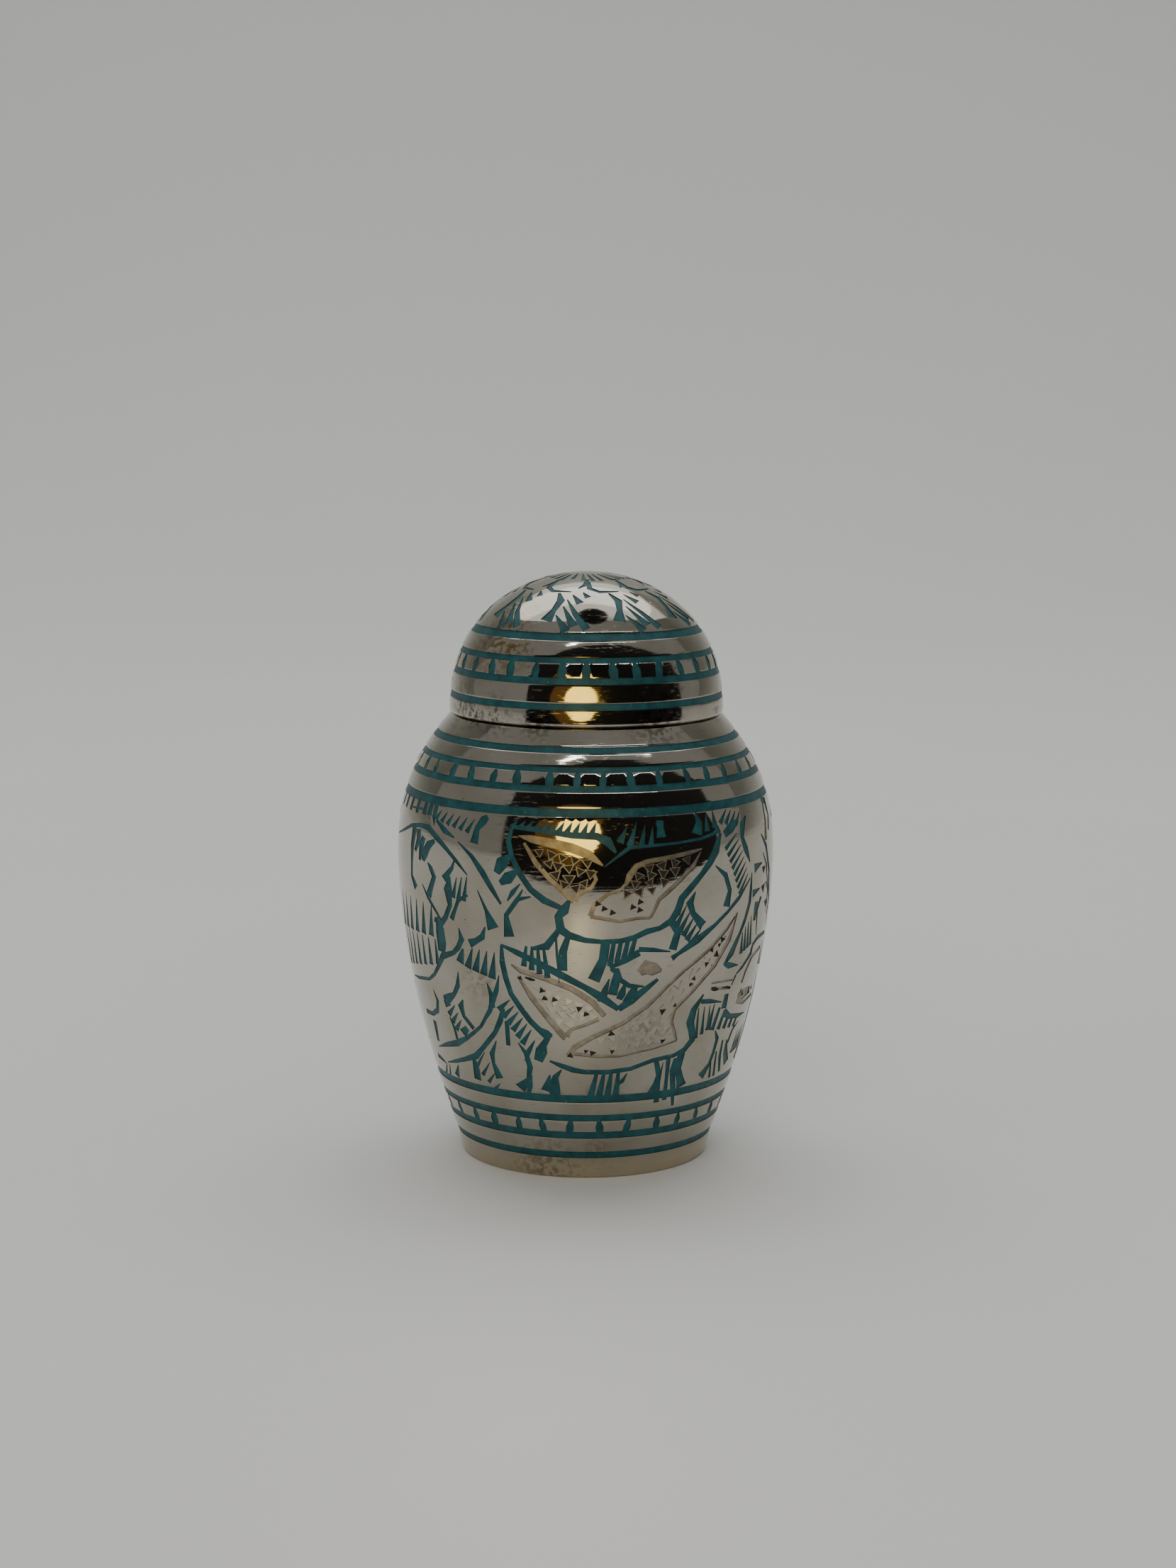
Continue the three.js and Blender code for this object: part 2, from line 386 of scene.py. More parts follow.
def upper_dove_wings(skin, rng):
    """bare bright-cut outlines and chips of the upper dove"""
    cuts = strokes(skin, [
        [(-20.2, 44.4, 0.1), (-16, 44.1, 0.7), (-10, 43.7, 0.9), (-4, 43.2, 0.9), (1, 42.4, 0.85),
         (5, 41.1, 0.2)],
        [(-18.3, 43.6, 0.3), (-14.4, 41.2, 0.55), (-10.4, 39.4, 0.5), (-5.6, 37.6, 0.5), (-3.2, 36.8, 0.7)],
        [(-3.2, 36.9, 0.7), (-2, 37.6, 0.45), (1.6, 38.4, 0.4), (3, 39.4, 0.4), (2, 40.6, 0.3)],
        [(11.6, 38.6, 0.35), (12.8, 39.8, 0.7), (14.8, 40.9, 0.6), (18, 41.4, 0.5), (26.4, 41.8, 0.45),
         (32, 42.1, 0.45), (36.6, 42.4, 0.15)],
        [(36, 42.1, 0.15), (33.2, 40.5, 0.5), (28, 38.7, 0.45), (24, 37.4, 0.5), (21.8, 36.7, 0.4),
         (20.6, 35.6, 0.35), (19.2, 34.5, 0.3)],
        [(1.4, 34.9, 0.5), (2.7, 36.4, 0.45), (6.4, 37.6, 0.35), (10.4, 38.2, 0.3), (11.6, 38.8, 0.3)],
        [(1.4, 34.9, 0.4), (5.5, 34.6, 0.4), (10, 34.2, 0.3), (15, 34.5, 0.3), (19.2, 34.5, 0.3)],
    ], BARE)
    left = [((-13.4, 42.7), (0.5, 41.4)), ((-10.8, 41.4), (1.5, 40.2)), ((-8.6, 40), (-0.5, 39)),
            ((-6, 38.7), (-2.6, 38.3))]
    right = [((18.6, 40.7), (31, 41.2)), ((15.6, 39.7), (27.2, 40.1)), ((14.4, 38.7), (23.6, 38.9)),
             ((12, 37.7), (19.5, 37.9))]
    cuts += chip_rows(skin, (BARE, GRIME), left, 3.4, 1.4, rng)
    cuts += chip_rows(skin, (BARE, GRIME), right, 3.7, 1.35, rng)
    dark = [(3.5, 36.4), (5.4, 35.8), (7.8, 35.3), (13.8, 35.9), (16, 36.5), (15.9, 35.5), (-12.2, 40.9)]
    return cuts + grime_chips(skin, dark, 0.8)


def lower_dove(skin):
    """the second dove, with its head to the middle and its right wing raised"""
    return strokes(skin, [
        [(-26, 30.8, 0.25), (-20.8, 30, 0.6), (-14.4, 28.9, 0.65), (-8, 27.6, 0.75), (0, 25.9, 0.6),
         (4.8, 24.7, 0.85), (10.6, 23, 0.5)],
        [(10.6, 23, 0.6), (14.4, 24.1, 0.9), (19.2, 25.5, 0.6), (22.8, 26.6, 0.35)],
        [(-25.7, 30.7, 0.3), (-25.8, 28.6, 0.6), (-25, 26.6, 0.6), (-23.6, 24.6, 0.55), (-20.8, 22.9, 0.6),
         (-17.6, 21.2, 0.6), (-14.4, 20, 0.6)],
        [(-15, 20.2, 0.6), (-12.6, 19.6, 1), (-10.6, 19.5, 0.3)],
        [(-11.8, 19.4, 0.5), (-13.8, 18.2, 0.7), (-14.6, 17.4, 1.2), (-16, 16, 0.9)],
        [(-12, 16.1, 0.2), (-8.5, 15.6, 0.5), (-4, 15, 0.6), (0, 14.75, 0.5), (8, 14.7, 0.5),
         (16, 15, 0.45), (24, 15.9, 0.45), (32, 16.2, 0.45), (36.5, 16.8, 0.6)],
        [(35.4, 16.4, 0.6), (39, 17.9, 0.8), (38, 19.2, 0.8), (36.8, 20.4, 1), (37.6, 22, 0.8),
         (40.8, 23.8, 0.2)],
        [(27, 29.1, 0.6), (29, 29.6, 0.4), (31.6, 30.2, 0.6), (35.8, 31.1, 0.8), (42.1, 32.6, 0.45),
         (47.4, 34, 0.4), (52.6, 35.5, 0.5), (58.4, 37.6, 0.15)],
        [(59.3, 38.2, 0.15), (59.1, 36.2, 0.5), (58.9, 34.4, 0.6), (57, 32.4, 0.55), (54.7, 30.7, 0.5),
         (51.5, 28.5, 0.9), (48.3, 27.1, 0.3)],
        [(48.5, 27.2, 0.3), (51, 26.9, 0.7), (56.2, 26.6, 0.1)],
        [(16.3, 30.2, 0.7), (12, 29.3, 0.65), (7.4, 28.4, 0.35)],
        [(16, 30.6, 0.5), (20.8, 30.4, 0.45), (26.3, 30, 0.12)],
        [(7.6, 28.2, 0.3), (9.4, 28, 0.7), (10.8, 26.8, 0.5), (13.6, 26, 0.5), (18.4, 25.8, 0.15)],
        [(9.4, 28, 0.3), (9.2, 26.4, 0.9), (8.4, 24.9, 0.9)],
        [(12.3, 26.3, 0.2), (11.4, 25, 0.8), (10.6, 24.3, 0.6)],
        [(15.6, 25.8, 0.6), (14.6, 24.9, 0.9), (12.4, 23.9, 0.5)],
        [(7.4, 27, 0.1), (6.2, 25.6, 0.6), (5.2, 24, 0.9)],
    ])


def lower_dove_wings(skin, rng):
    """bare bright-cut outlines and chips of the lower dove"""
    cuts = strokes(skin, [
        [(-22.8, 28.4, 0.2), (-20, 27.7, 0.5), (-12, 26.9, 0.6), (-4, 25.7, 0.6), (2.4, 24, 0.65),
         (6.2, 22.2, 0.5)],
        [(-20.8, 27, 0.25), (-16.8, 24.4, 0.6), (-12, 21.9, 0.6), (-7.4, 19.7, 0.65), (-6, 19.4, 0.9)],
        [(-6, 19.5, 0.6), (-4.4, 20.4, 0.35), (0, 21, 0.35), (4.4, 21.8, 0.4)],
        [(52.4, 33.6, 0.15), (48, 31.9, 0.4), (40, 29.4, 0.4), (32, 27.4, 0.35), (26.4, 25.6, 0.35),
         (20, 23.2, 0.4), (12, 21.1, 0.45), (2.4, 19.4, 0.5), (-3.2, 18.1, 0.6), (-5.4, 16.9, 0.7)],
        [(-4, 17.2, 0.4), (4, 16.9, 0.4), (12, 16.8, 0.25), (24, 17.5, 0.2), (32.2, 18.2, 0.2)],
        [(32.2, 18.2, 0.25), (30.6, 19.6, 0.35), (29.2, 20.8, 0.35), (29.8, 22.4, 0.4), (36, 24.5, 0.4),
         (44, 27.4, 0.5), (49.4, 30.4, 0.6), (52.2, 33.4, 0.15)],
        [(16.6, 27.6, 0.8), (18.6, 28.3, 1.5), (21.4, 27.9, 1.3), (23.8, 27.7, 0.3)],
    ], BARE)
    left = [((-14.4, 25.5), (1.4, 23.2)), ((-12.6, 24.2), (2.6, 22)), ((-10.4, 22.9), (-1, 21.9)),
            ((-8, 21.5), (-5, 21.1))]
    right = [((30, 26), (46, 30.8)), ((23.4, 24), (43.4, 28.9)), ((20.4, 22.4), (35, 25.3)),
             ((11, 20.4), (27.4, 21.6)), ((5.4, 19), (27, 19.8)), ((10, 17.9), (26, 18.5))]
    cuts += chip_rows(skin, (FACET,), left, 2.9, 1.05, rng)
    cuts += chip_rows(skin, (FACET,), right, 3.6, 1, rng)
    dark = ((25.5, 22.3), (29.8, 22.9), (35, 25.4), (35.8, 26.1), (40.3, 27.7), (44.2, 28.7), (45, 29.9),
            (46.3, 30.5), (41.9, 29.4), (8.6, 19.8), (9.2, 17.4), (2.6, 17.25), (0.4, 17.5), (26.8, 18.3),
            (-12.7, 24.3), (-1.8, 23.1), (-20.2, 26.7), (-4.9, 16.9))
    for degrees, z in dark:
        cuts.append(chip(skin, degrees, z, rng.uniform(0.55, 0.95), rng.uniform(-30, 60), GRIME))
    cuts += grime_chips(skin, ((-13.4, 25.3), (0.3, 22.4), (-9.6, 24.2)), 0.75)
    return cuts + strokes(skin, [[(-18.6, 26.9, 0.15), (-16.8, 26.7, 0.35), (-15.4, 26.6, 0.15)]], GRIME)


def sprays_near_upper_dove(skin):
    """feather and leaf strokes round the upper dove"""
    cuts = strokes(skin, [
        [(-22.6, 41.9, 0.5), (-25, 41, 1.3), (-26.6, 39.7, 0.7)],
        [(-20.4, 40.1, 0.5), (-23, 39.2, 1.2), (-25.5, 38.5, 0.5)],
        [(-19.2, 38.6, 0.1), (-21.5, 37.5, 0.5), (-23.2, 36.4, 0.15)],
        [(-16, 37.1, 0.15), (-20, 36.7, 0.5), (-23.7, 34.6, 0.5), (-23, 31.9, 1.1)],
        [(-18.4, 37.9, 0.15), (-20.4, 36.5, 0.4)],
        [(-30.8, 46.3, 0.5), (-32, 45.9, 0.9), (-34, 44.8, 0.6), (-34.7, 43, 0.95)],
        [(-40.8, 42.9, 0.12), (-35.3, 41.4, 0.45), (-31.6, 39.7, 0.65), (-28.4, 37.8, 0.55),
         (-25.3, 35.9, 0.25)],
        [(-33.2, 37.3, 0.1), (-30.3, 34.9, 0.4), (-28.2, 32.7, 1.3)],
        [(-31, 32.8, 0.15), (-32.2, 31.5, 0.65), (-34.5, 30.9, 0.6), (-37.2, 30.4, 0.9)],
        [(33.9, 37.2, 0.12), (32, 35.9, 0.85), (33.4, 34.5, 0.6), (37.3, 32.8, 1)],
        [(41.3, 40.1, 0.12), (45.6, 38.7, 0.6), (47.7, 36.7, 0.6), (46.6, 34.7, 1)],
        [(52.8, 45.1, 0.4), (49, 44.4, 1), (45.6, 43.7, 0.7)],
        [(57.4, 45.4, 0.15), (54.9, 44.5, 0.9), (54, 42.9, 0.6), (55.6, 41.4, 0.8), (58, 39.6, 0.12)],
        [(21.4, 46.1, 0.4), (22.6, 45.9, 0.9), (22.6, 45.3, 0.7), (22.7, 44.2, 1)],
        [(35.2, 47, 0.1), (36.1, 45.6, 0.8), (34.9, 44.2, 1.3)],
        [(-51.2, 45, 0.3), (-47, 44, 0.6), (-42.4, 43.3, 0.12)],
    ])
    cuts += hatches(skin, [
        (((12.4, 45.8), (10, 43.8)), ((15.3, 46.2), (12.9, 43.3)), 2, (0.06, 0.95)),
        (((17.9, 45.9), (16.4, 43.3)), ((20.2, 45.6), (19.3, 43.2)), 2, (0.06, 0.8)),
        (((39.2, 46.7), (38.9, 44.4)), ((42, 46.9), (42.1, 44.7)), 2, (0.06, 0.95)),
        (((48.2, 46.7), (44.4, 45.1)), ((54.5, 46.1), (51.4, 44.6)), 4, (0.06, 0.7)),
        (((51.5, 43.6), (45.6, 41.9)), ((57, 38.3), (52.4, 35.9)), 8, (0.08, 0.62)),
        (((31, 35.7), (27.6, 33)), ((36.9, 32.6), (33, 30.6)), 5, (0.08, 0.85)),
        (((-49.7, 46.3), (-51.6, 45.1)), ((-35.3, 45.9), (-37.8, 44.2)), 6, (0.06, 0.7)),
    ])
    return cuts + strokes(skin, [[(26, 33.9, 0.8), (28.4, 32.4, 0.8), (27, 30.2, 0.9)]])


def sprays_between_doves(skin):
    """the feathers that hang between the two doves"""
    cuts = strokes(skin, [
        [(6, 31.6, 0.9), (5.4, 29.4, 0.9), (2.6, 26.8, 1.2)],
        [(-16.2, 30.6, 0.3), (-11.5, 31, 0.8), (-8.6, 32.6, 0.6), (-7.2, 33.6, 0.4)],
        [(-5, 32.4, 0.5), (-6.6, 30.4, 0.8), (-6.9, 28, 1)],
        [(-8.7, 33, 0.2), (-8.4, 30, 0.25), (-7.9, 26.4, 0.05)],
    ])
    return cuts + hatches(skin, [
        (((8.4, 31.5), (7.4, 28.6)), ((14.8, 31.9), (13.6, 29.9)), 4, (0.5, 0.7)),
        (((-17.7, 30.9), (-18.8, 28.3)), ((-12.4, 30.9), (-11.4, 27)), 4, (0.3, 0.75)),
    ])


def blossom(skin):
    """the round blossom to the left: crown, cup of stripes and the stems that sweep under it"""
    cuts = strokes(skin, [
        [(-98, 41.7, 0.3), (-90, 40.9, 0.2), (-80, 41.7, 0.2), (-73, 42.5, 0.3), (-66, 43.5, 0.4),
         (-60, 43.9, 0.45), (-55, 43.9, 0.6), (-50, 42.9, 0.6), (-45, 41.7, 0.45), (-41, 40.5, 0.4),
         (-36.8, 39, 0.12)],
        [(-63.4, 43.5, 1), (-64.2, 41, 0.8), (-64.3, 39, 0.5), (-64.6, 37.3, 0.5), (-61.8, 35.9, 0.9)],
        [(-60.6, 43.4, 1), (-60, 42, 0.9), (-62, 40.6, 0.5)],
        [(-57, 42.6, 0.8), (-58.2, 41.2, 0.8), (-58.9, 39.6, 0.4)],
        [(-51, 42.5, 0.4), (-54, 41.8, 0.9), (-56, 40.6, 1.1), (-57, 39.7, 0.6)],
        [(-54.2, 39.6, 0.15), (-52.6, 39, 0.6), (-51, 38, 0.7), (-52.6, 36.7, 0.7), (-54.2, 35.4, 0.9)],
        [(-57.7, 36.7, 0.12), (-54.6, 35.2, 0.4), (-48.9, 32.8, 0.25)],
        [(-41.8, 40.7, 0.15), (-42.8, 39.6, 0.45), (-46.4, 38, 0.8)],
        [(-43.8, 38.5, 0.2), (-44.7, 36.8, 1.2), (-44.2, 34.8, 0.6), (-46.4, 33.2, 0.6),
         (-48.9, 32.2, 0.7)],
        [(-36.8, 36.5, 0.2), (-40.6, 35.7, 0.5), (-41.6, 34.8, 0.4), (-43.8, 33.1, 0.6)],
        [(-52, 32.6, 0.5), (-50, 32.4, 0.6), (-48.4, 31.6, 0.5), (-48.2, 29.8, 0.6), (-49.4, 28, 0.5)],
        [(-50.4, 33, 0.4), (-50.2, 31, 1), (-50.4, 28.6, 0.8)],
        [(-76, 23.5, 0.1), (-70, 23.7, 0.35), (-60, 24.3, 0.35), (-56, 25.2, 0.4), (-52.5, 26.6, 0.5),
         (-49.8, 28, 0.7), (-44.4, 28.8, 0.5), (-42, 29.6, 0.6), (-40.2, 30.8, 0.7), (-41.1, 32.2, 0.08)],
        [(-40, 29.6, 0.2), (-41, 28.6, 0.7), (-41.9, 27.7, 1)],
        [(-31.9, 25.6, 0.12), (-30.6, 24, 0.6), (-31, 22.5, 0.7)],
        [(-27.3, 26.8, 0.1), (-28.6, 24.9, 0.5), (-30.4, 23.4, 0.6), (-32, 22, 0.5), (-34, 21, 0.4),
         (-36.5, 19.7, 0.35), (-40, 18.7, 0.4), (-44, 17.7, 0.45), (-50, 16.6, 0.7), (-57, 15.9, 0.5),
         (-65, 15, 0.1)],
        [(-26.8, 22.6, 0.4), (-28.4, 20.9, 0.6), (-31, 19.2, 0.5), (-34.5, 17.8, 0.5), (-37.5, 16.7, 0.5),
         (-41, 15.5, 0.7), (-47, 14.7, 0.5), (-53, 14, 0.4), (-60, 13.3, 0.1)],
        [(-43.2, 26.4, 0.1), (-44.2, 24.6, 0.6), (-46.6, 23.3, 0.5), (-50, 22.5, 1), (-52.8, 22.5, 0.3)],
        [(-51.8, 22.3, 0.8), (-50.8, 21.4, 1)],
        [(-51.3, 20, 0.15), (-49.7, 18.6, 0.4), (-49.2, 16.6, 0.4)],
        [(-42.8, 22.8, 0.15), (-44.3, 21.9, 0.8), (-43.5, 20.6, 0.5), (-39.9, 19.2, 0.5)],
        [(-42.9, 19.1, 0.6), (-45.6, 18.2, 1)],
        [(-58.7, 23, 0.12), (-57, 21.7, 0.5), (-58.4, 20.3, 0.6), (-63, 19.5, 0.5), (-69, 19.4, 0.5)],
        [(-62.8, 18.6, 0.8), (-63.9, 15.8, 0.5)],
        [(-69, 13.5, 0.5), (-65.5, 13.4, 0.5), (-61.6, 13, 0.1)],
        [(-68, 45.7, 0.2), (-60, 45.9, 0.25)],
    ])
    cuts += hatches(skin, [
        (((-76, 34.8), (-77.4, 30)), ((-53.2, 34.3), (-54.6, 30.3)), 6, (0.12, 1.15)),
        (((-76, 29.9), (-77, 25)), ((-52.8, 30), (-52.9, 26.7)), 7, (0.2, 0.9)),
        (((-36.2, 29.9), (-38.8, 27.2)), ((-28.3, 29.7), (-29.9, 26.3)), 4, (0.12, 1.1)),
        (((-79, 47.1), (-80, 45.3)), ((-63.6, 47.1), (-63.8, 45.2)), 4, (0.7, 0.85)),
        (((-58.6, 47.1), (-58.8, 45.3)), ((-55.6, 47.1), (-55.6, 45.4)), 2, (0.6, 1)),
    ])
    cuts += strokes(skin, [[(-52.9, 47.1, 0.6), (-52.8, 45.4, 0.7), (-52.2, 44.3, 0.08)]])
    return cuts + hatches(skin, [
        (((-41, 38.5), (-42.6, 35.9)), ((-37, 38.8), (-38.4, 35.7)), 3, (0.12, 0.7)),
        (((-47.2, 21.8), (-51.4, 20.3)), ((-45.2, 20), (-48.8, 18.5)), 3, (0.1, 0.8)),
    ])


def foot_sprays(skin):
    """leaf strokes that stand on the ring above the foot"""
    cuts = strokes(skin, [
        [(-22.7, 18.2, 0.1), (-20.2, 16.9, 0.5), (-19.2, 15.1, 0.6), (-20.2, 13.4, 0.5), (-24, 12, 1.2)],
        [(-16.7, 18.7, 0.1), (-19, 17.3, 0.5), (-20.6, 15.8, 0.25)],
        [(-18.8, 14, 0.08), (-19.8, 12.6, 0.5), (-21.1, 11.3, 0.4)],
        [(-8, 15, 0.12), (-10.2, 14, 0.6), (-11, 12.6, 1.2), (-10.6, 11.3, 1)],
        [(-12.2, 14.2, 0.15), (-14.2, 12, 0.95)],
        [(-26, 20.9, 0.5), (-26.5, 17.7, 0.45)],
        [(-31, 18.1, 0.1), (-33.6, 16.2, 0.6), (-33.6, 15, 0.4), (-32, 13, 0.9)],
        [(-42.5, 15.3, 0.4), (-42.3, 13.6, 0.9), (-42.8, 12.2, 0.9)],
        [(-52.6, 13.5, 0.1), (-55.4, 11.8, 0.8)],
        [(14.9, 14.4, 0.1), (13.4, 13.4, 0.45), (12, 13, 0.3)],
        [(25.4, 15.7, 0.5), (27.2, 13.8, 0.6), (26.4, 12.6, 0.6), (25.2, 11.3, 0.9)],
        [(28.2, 15.4, 0.08), (27.5, 13, 0.4), (28, 10, 0.6)],
        [(30.1, 15.9, 0.5), (30.6, 13.4, 0.4), (31.4, 10.2, 0.5)],
        [(33.1, 15.8, 0.4), (32.5, 14.2, 0.6), (34.4, 11.6, 0.6), (35.9, 9.2, 0.3)],
        [(35.3, 16.3, 0.9), (34.9, 14.2, 0.8), (37, 12.6, 0.9), (38.2, 11.7, 1.2)],
        [(50, 18.4, 0.15), (52.2, 17.2, 0.6), (51.8, 15.3, 0.5), (50.9, 13.9, 0.5), (47.6, 12.4, 1.1)],
        [(56.3, 16.7, 0.3), (57, 14.5, 0.5), (60, 12.2, 0.4)],
        [(59.2, 16.6, 0.2), (60.6, 14.9, 0.8), (64.4, 13.1, 1)],
        [(60.6, 16, 0.4), (62, 17.7, 0.4), (66, 18.5, 0.1)],
        [(40.2, 22.9, 0.45), (44, 22.7, 0.5), (50.3, 22.2, 0.12)],
        [(52.5, 23.1, 0.7), (52.3, 21.2, 0.9)],
        [(52.7, 20.7, 0.9), (57, 19.8, 0.6), (64, 19.4, 0.5), (70, 19.3, 0.1)],
        [(46.8, 22.2, 0.1), (45.7, 18.8, 0.8)],
    ])
    return cuts + hatches(skin, [
        (((4.2, 14.6), (2.2, 11.3)), ((11.8, 14.6), (11.4, 11.3)), 4, (0.4, 0.85)),
        (((39.6, 22.1), (40.5, 18)), ((44.6, 22.1), (45.5, 18.8)), 3, (0.12, 0.6)),
        (((49.9, 21.5), (48, 18.6)), ((62.8, 19.2), (61.6, 18.1)), 5, (0.5, 0.8)),
        (((51.5, 14.3), (53.4, 11.9)), ((53.7, 15.4), (56.2, 11.9)), 2, (0.3, 0.5)),
        (((-24.2, 23.8), (-28.6, 22.3)), ((-17.6, 20.1), (-21.3, 18.1)), 6, (0.1, 0.8)),
        (((-36.7, 16.3), (-42, 13.9)), ((-32.2, 12.3), (-35.2, 11.3)), 4, (0.08, 0.55)),
        (((-61.5, 13), (-65, 11.3)), ((-59, 13.1), (-61.4, 11.3)), 2, (0.1, 0.6)),
    ])


def side_dove(skin):
    """the next dove round to the right, mostly turned away"""
    cuts = strokes(skin, [
        [(56, 25.4, 0.15), (59.4, 26.1, 0.45), (62.6, 27, 0.45), (64.4, 27.5, 0.6), (65, 28.6, 0.5),
         (68.4, 29.2, 0.5), (78, 29.2, 0.4)],
        [(60.9, 38.6, 1), (66.9, 39, 0.06)],
        [(60.4, 35.4, 0.9), (65.9, 35.8, 0.06)],
        [(67.2, 34.6, 0.5), (65, 33, 0.4), (66.8, 29.7, 0.15)],
        [(63.9, 34.2, 0.9), (63.4, 31.8, 0.6)],
        [(72.6, 46.8, 0.3), (71.8, 44, 0.5), (70.4, 41.6, 0.8)],
        [(71.6, 46.6, 0.6), (75.6, 46.2, 0.9), (76.4, 44.4, 0.5), (74.4, 42.6, 0.5)],
        [(54.4, 24.1, 0.2), (56, 25.3, 0.3)],
    ])
    cuts += hatches(skin, [(((56.4, 30.8), (57, 28)), ((61, 32.6), (62.6, 28.7)), 4, (0.15, 0.75))])
    cuts += strokes(skin, [
        [(43.6, 25.1, 0.25), (54.4, 24.8, 0.2)],
        [(43.6, 24.4, 0.3), (54, 23.8, 0.3)],
        [(61, 23.9, 0.4), (62.5, 25.4, 0.5), (66, 27, 0.5), (74, 27.6, 0.4)],
        [(59.8, 21.6, 0.5), (66, 21, 0.5), (75, 21.3, 0.4)],
        [(60, 22, 0.9), (64, 22.2, 1.2), (70, 22.3, 0.8)],
    ], BARE)
    cuts += strokes(skin, [
        [(44.2, 24.3, 0.3), (45.6, 24.2, 0.5), (47.6, 24, 0.15)],
        [(49.6, 24.1, 0.15), (52, 24, 0.3), (54, 23.8, 0.25)],
    ], GRIME)
    return cuts + grime_chips(skin, ((61.8, 22.7), (64, 22.2), (70, 22), (72, 22.4)), 0.8, 0)


def side_leaves(skin, rng):
    """the wing and the leaves that fill the sides, between the last dove and the next blossom"""
    cuts = strokes(skin, [
        [(66.5, 42.6, 0.2), (70.5, 40.8, 0.6), (74.6, 37.4, 0.65), (77.4, 33.6, 0.6), (78.2, 30.2, 0.25)],
        [(-97.6, 38.6, 0.3), (-93, 37.4, 0.5), (-88.6, 34.6, 0.65), (-86.4, 31, 0.6), (-87.6, 27.6, 0.65),
         (-92.4, 25.4, 0.5), (-97.6, 25, 0.3)],
        [(-96.8, 21.6, 0.15), (-91, 20.4, 0.6), (-85, 20.8, 0.55), (-79.6, 22.6, 0.15)],
        [(76.4, 24, 0.15), (78.6, 20.6, 0.6), (77.6, 16.4, 0.6), (74.6, 12.8, 0.9)],
    ])
    cuts += strokes(skin, [[(67.4, 40.2, 0.15), (70.8, 38.4, 0.5), (74, 35.2, 0.5), (75.6, 31.8, 0.2)]], BARE)
    cuts += hatches(skin, [
        (((-95.8, 34.8), (-96.6, 29.2)), ((-89.8, 33.4), (-90.6, 29)), 4, (0.12, 0.8)),
        (((-95.4, 20.2), (-96.2, 17.6)), ((-83.6, 20), (-85.6, 17.4)), 5, (0.1, 0.8)),
        (((-96.6, 15.4), (-97.2, 11.5)), ((-81.6, 15.4), (-83.4, 11.5)), 6, (0.1, 0.8)),
        (((-95.4, 45.9), (-96.8, 43.6)), ((-84, 46), (-86, 43.9)), 5, (0.1, 0.8)),
        (((79.2, 28.4), (78.4, 25)), ((76.4, 28.2), (75.6, 25.2)), 2, (0.12, 0.8)),
        (((74.4, 17.8), (72.4, 14.4)), ((67.8, 17.2), (66.6, 14.2)), 4, (0.1, 0.85)),
    ])
    rows = [((68.6, 38.2), (72.4, 36)), ((68.6, 35.8), (73.4, 33.4))]
    return cuts + chip_rows(skin, (BARE, GRIME), rows, 3.4, 1.2, rng)


def body_cuts(skin):
    """all cuts of one half of the body, between its first and last degree"""
    rng = random.Random(7)
    cuts = upper_dove(skin) + lower_dove(skin) + sprays_near_upper_dove(skin) + sprays_between_doves(skin)
    cuts += blossom(skin) + foot_sprays(skin) + side_dove(skin)
    cuts += upper_dove_wings(skin, rng) + lower_dove_wings(skin, rng)
    for low, high, first, count, width in (FOOT_LADDER, SHOULDER_LADDER):
        cuts += ladder(skin, low, high, half_places(first, count), width, rng)
    return cuts + side_leaves(skin, rng)


# Cuts of one leaf group on the dome, as (degrees, radius in plan, width) places
LEAF_GROUP = [
    [(-11, 8.7, 0.2), (-6.4, 10.1, 0.7), (-8.5, 11.6, 0.5), (-10.8, 12.9, 1.1)],
    [(-6, 12.2, 0.1), (1.4, 13.9, 0.8)],
    [(-3.2, 11, 0.1), (5, 13.4, 0.8)],
    [(-2, 9.9, 0.1), (5.3, 12, 0.5), (12, 13.7, 0.7)],
    [(1, 9, 0.1), (7.6, 10.5, 0.7)],
    [(9, 8.5, 0.1), (13, 9.5, 0.6)],
    [(-27, 5.8, 0.3), (-26.5, 7.6, 0.5), (-18, 8.4, 0.4), (-1, 8.4, 0.15)],
    [(13, 5, 0.3), (10, 6.8, 0.45), (4, 7.6, 0.15)],
]
LEAF_GROUPS = 9
APEX_PETALS = 26


def on_dome(skin, places, turn):
    """a cut through (degrees, radius in plan, width) places, turned round the dome"""
    spots = [skin.plan(degrees + turn, radius) for degrees, radius, _ in places]
    return cut(skin, ENAMEL, spots, [width * DOME_WEIGHT for _, _, width in places])


def lid_cuts(skin):
    """the ladder band, and the rings of leaves and petals on the dome"""
    rng = random.Random(11)
    low, high, first, count, width = LID_LADDER
    cuts = ladder(skin, low, high, [first + 180 / count * i for i in range(2 * count)], width, rng)
    for i in range(LEAF_GROUPS):
        turn = -12 + 360 / LEAF_GROUPS * i + rng.uniform(-2, 2)
        cuts += [on_dome(skin, places, turn) for places in LEAF_GROUP]
    for i in range(APEX_PETALS):
        turn = 360 / APEX_PETALS * i + rng.uniform(-3, 3)
        petal = [(0, 2.6 + rng.uniform(-0.2, 0.2), 0.08), (7, 5.2 + rng.uniform(-0.3, 0.4), 0.4)]
        cuts.append(on_dome(skin, petal, turn))
    return cuts


def evenly(low, high, step):
    """values from low to high, no further apart than the step"""
    count = max(1, math.ceil((high - low) / step))
    return [low + (high - low) * i / count for i in range(count + 1)]


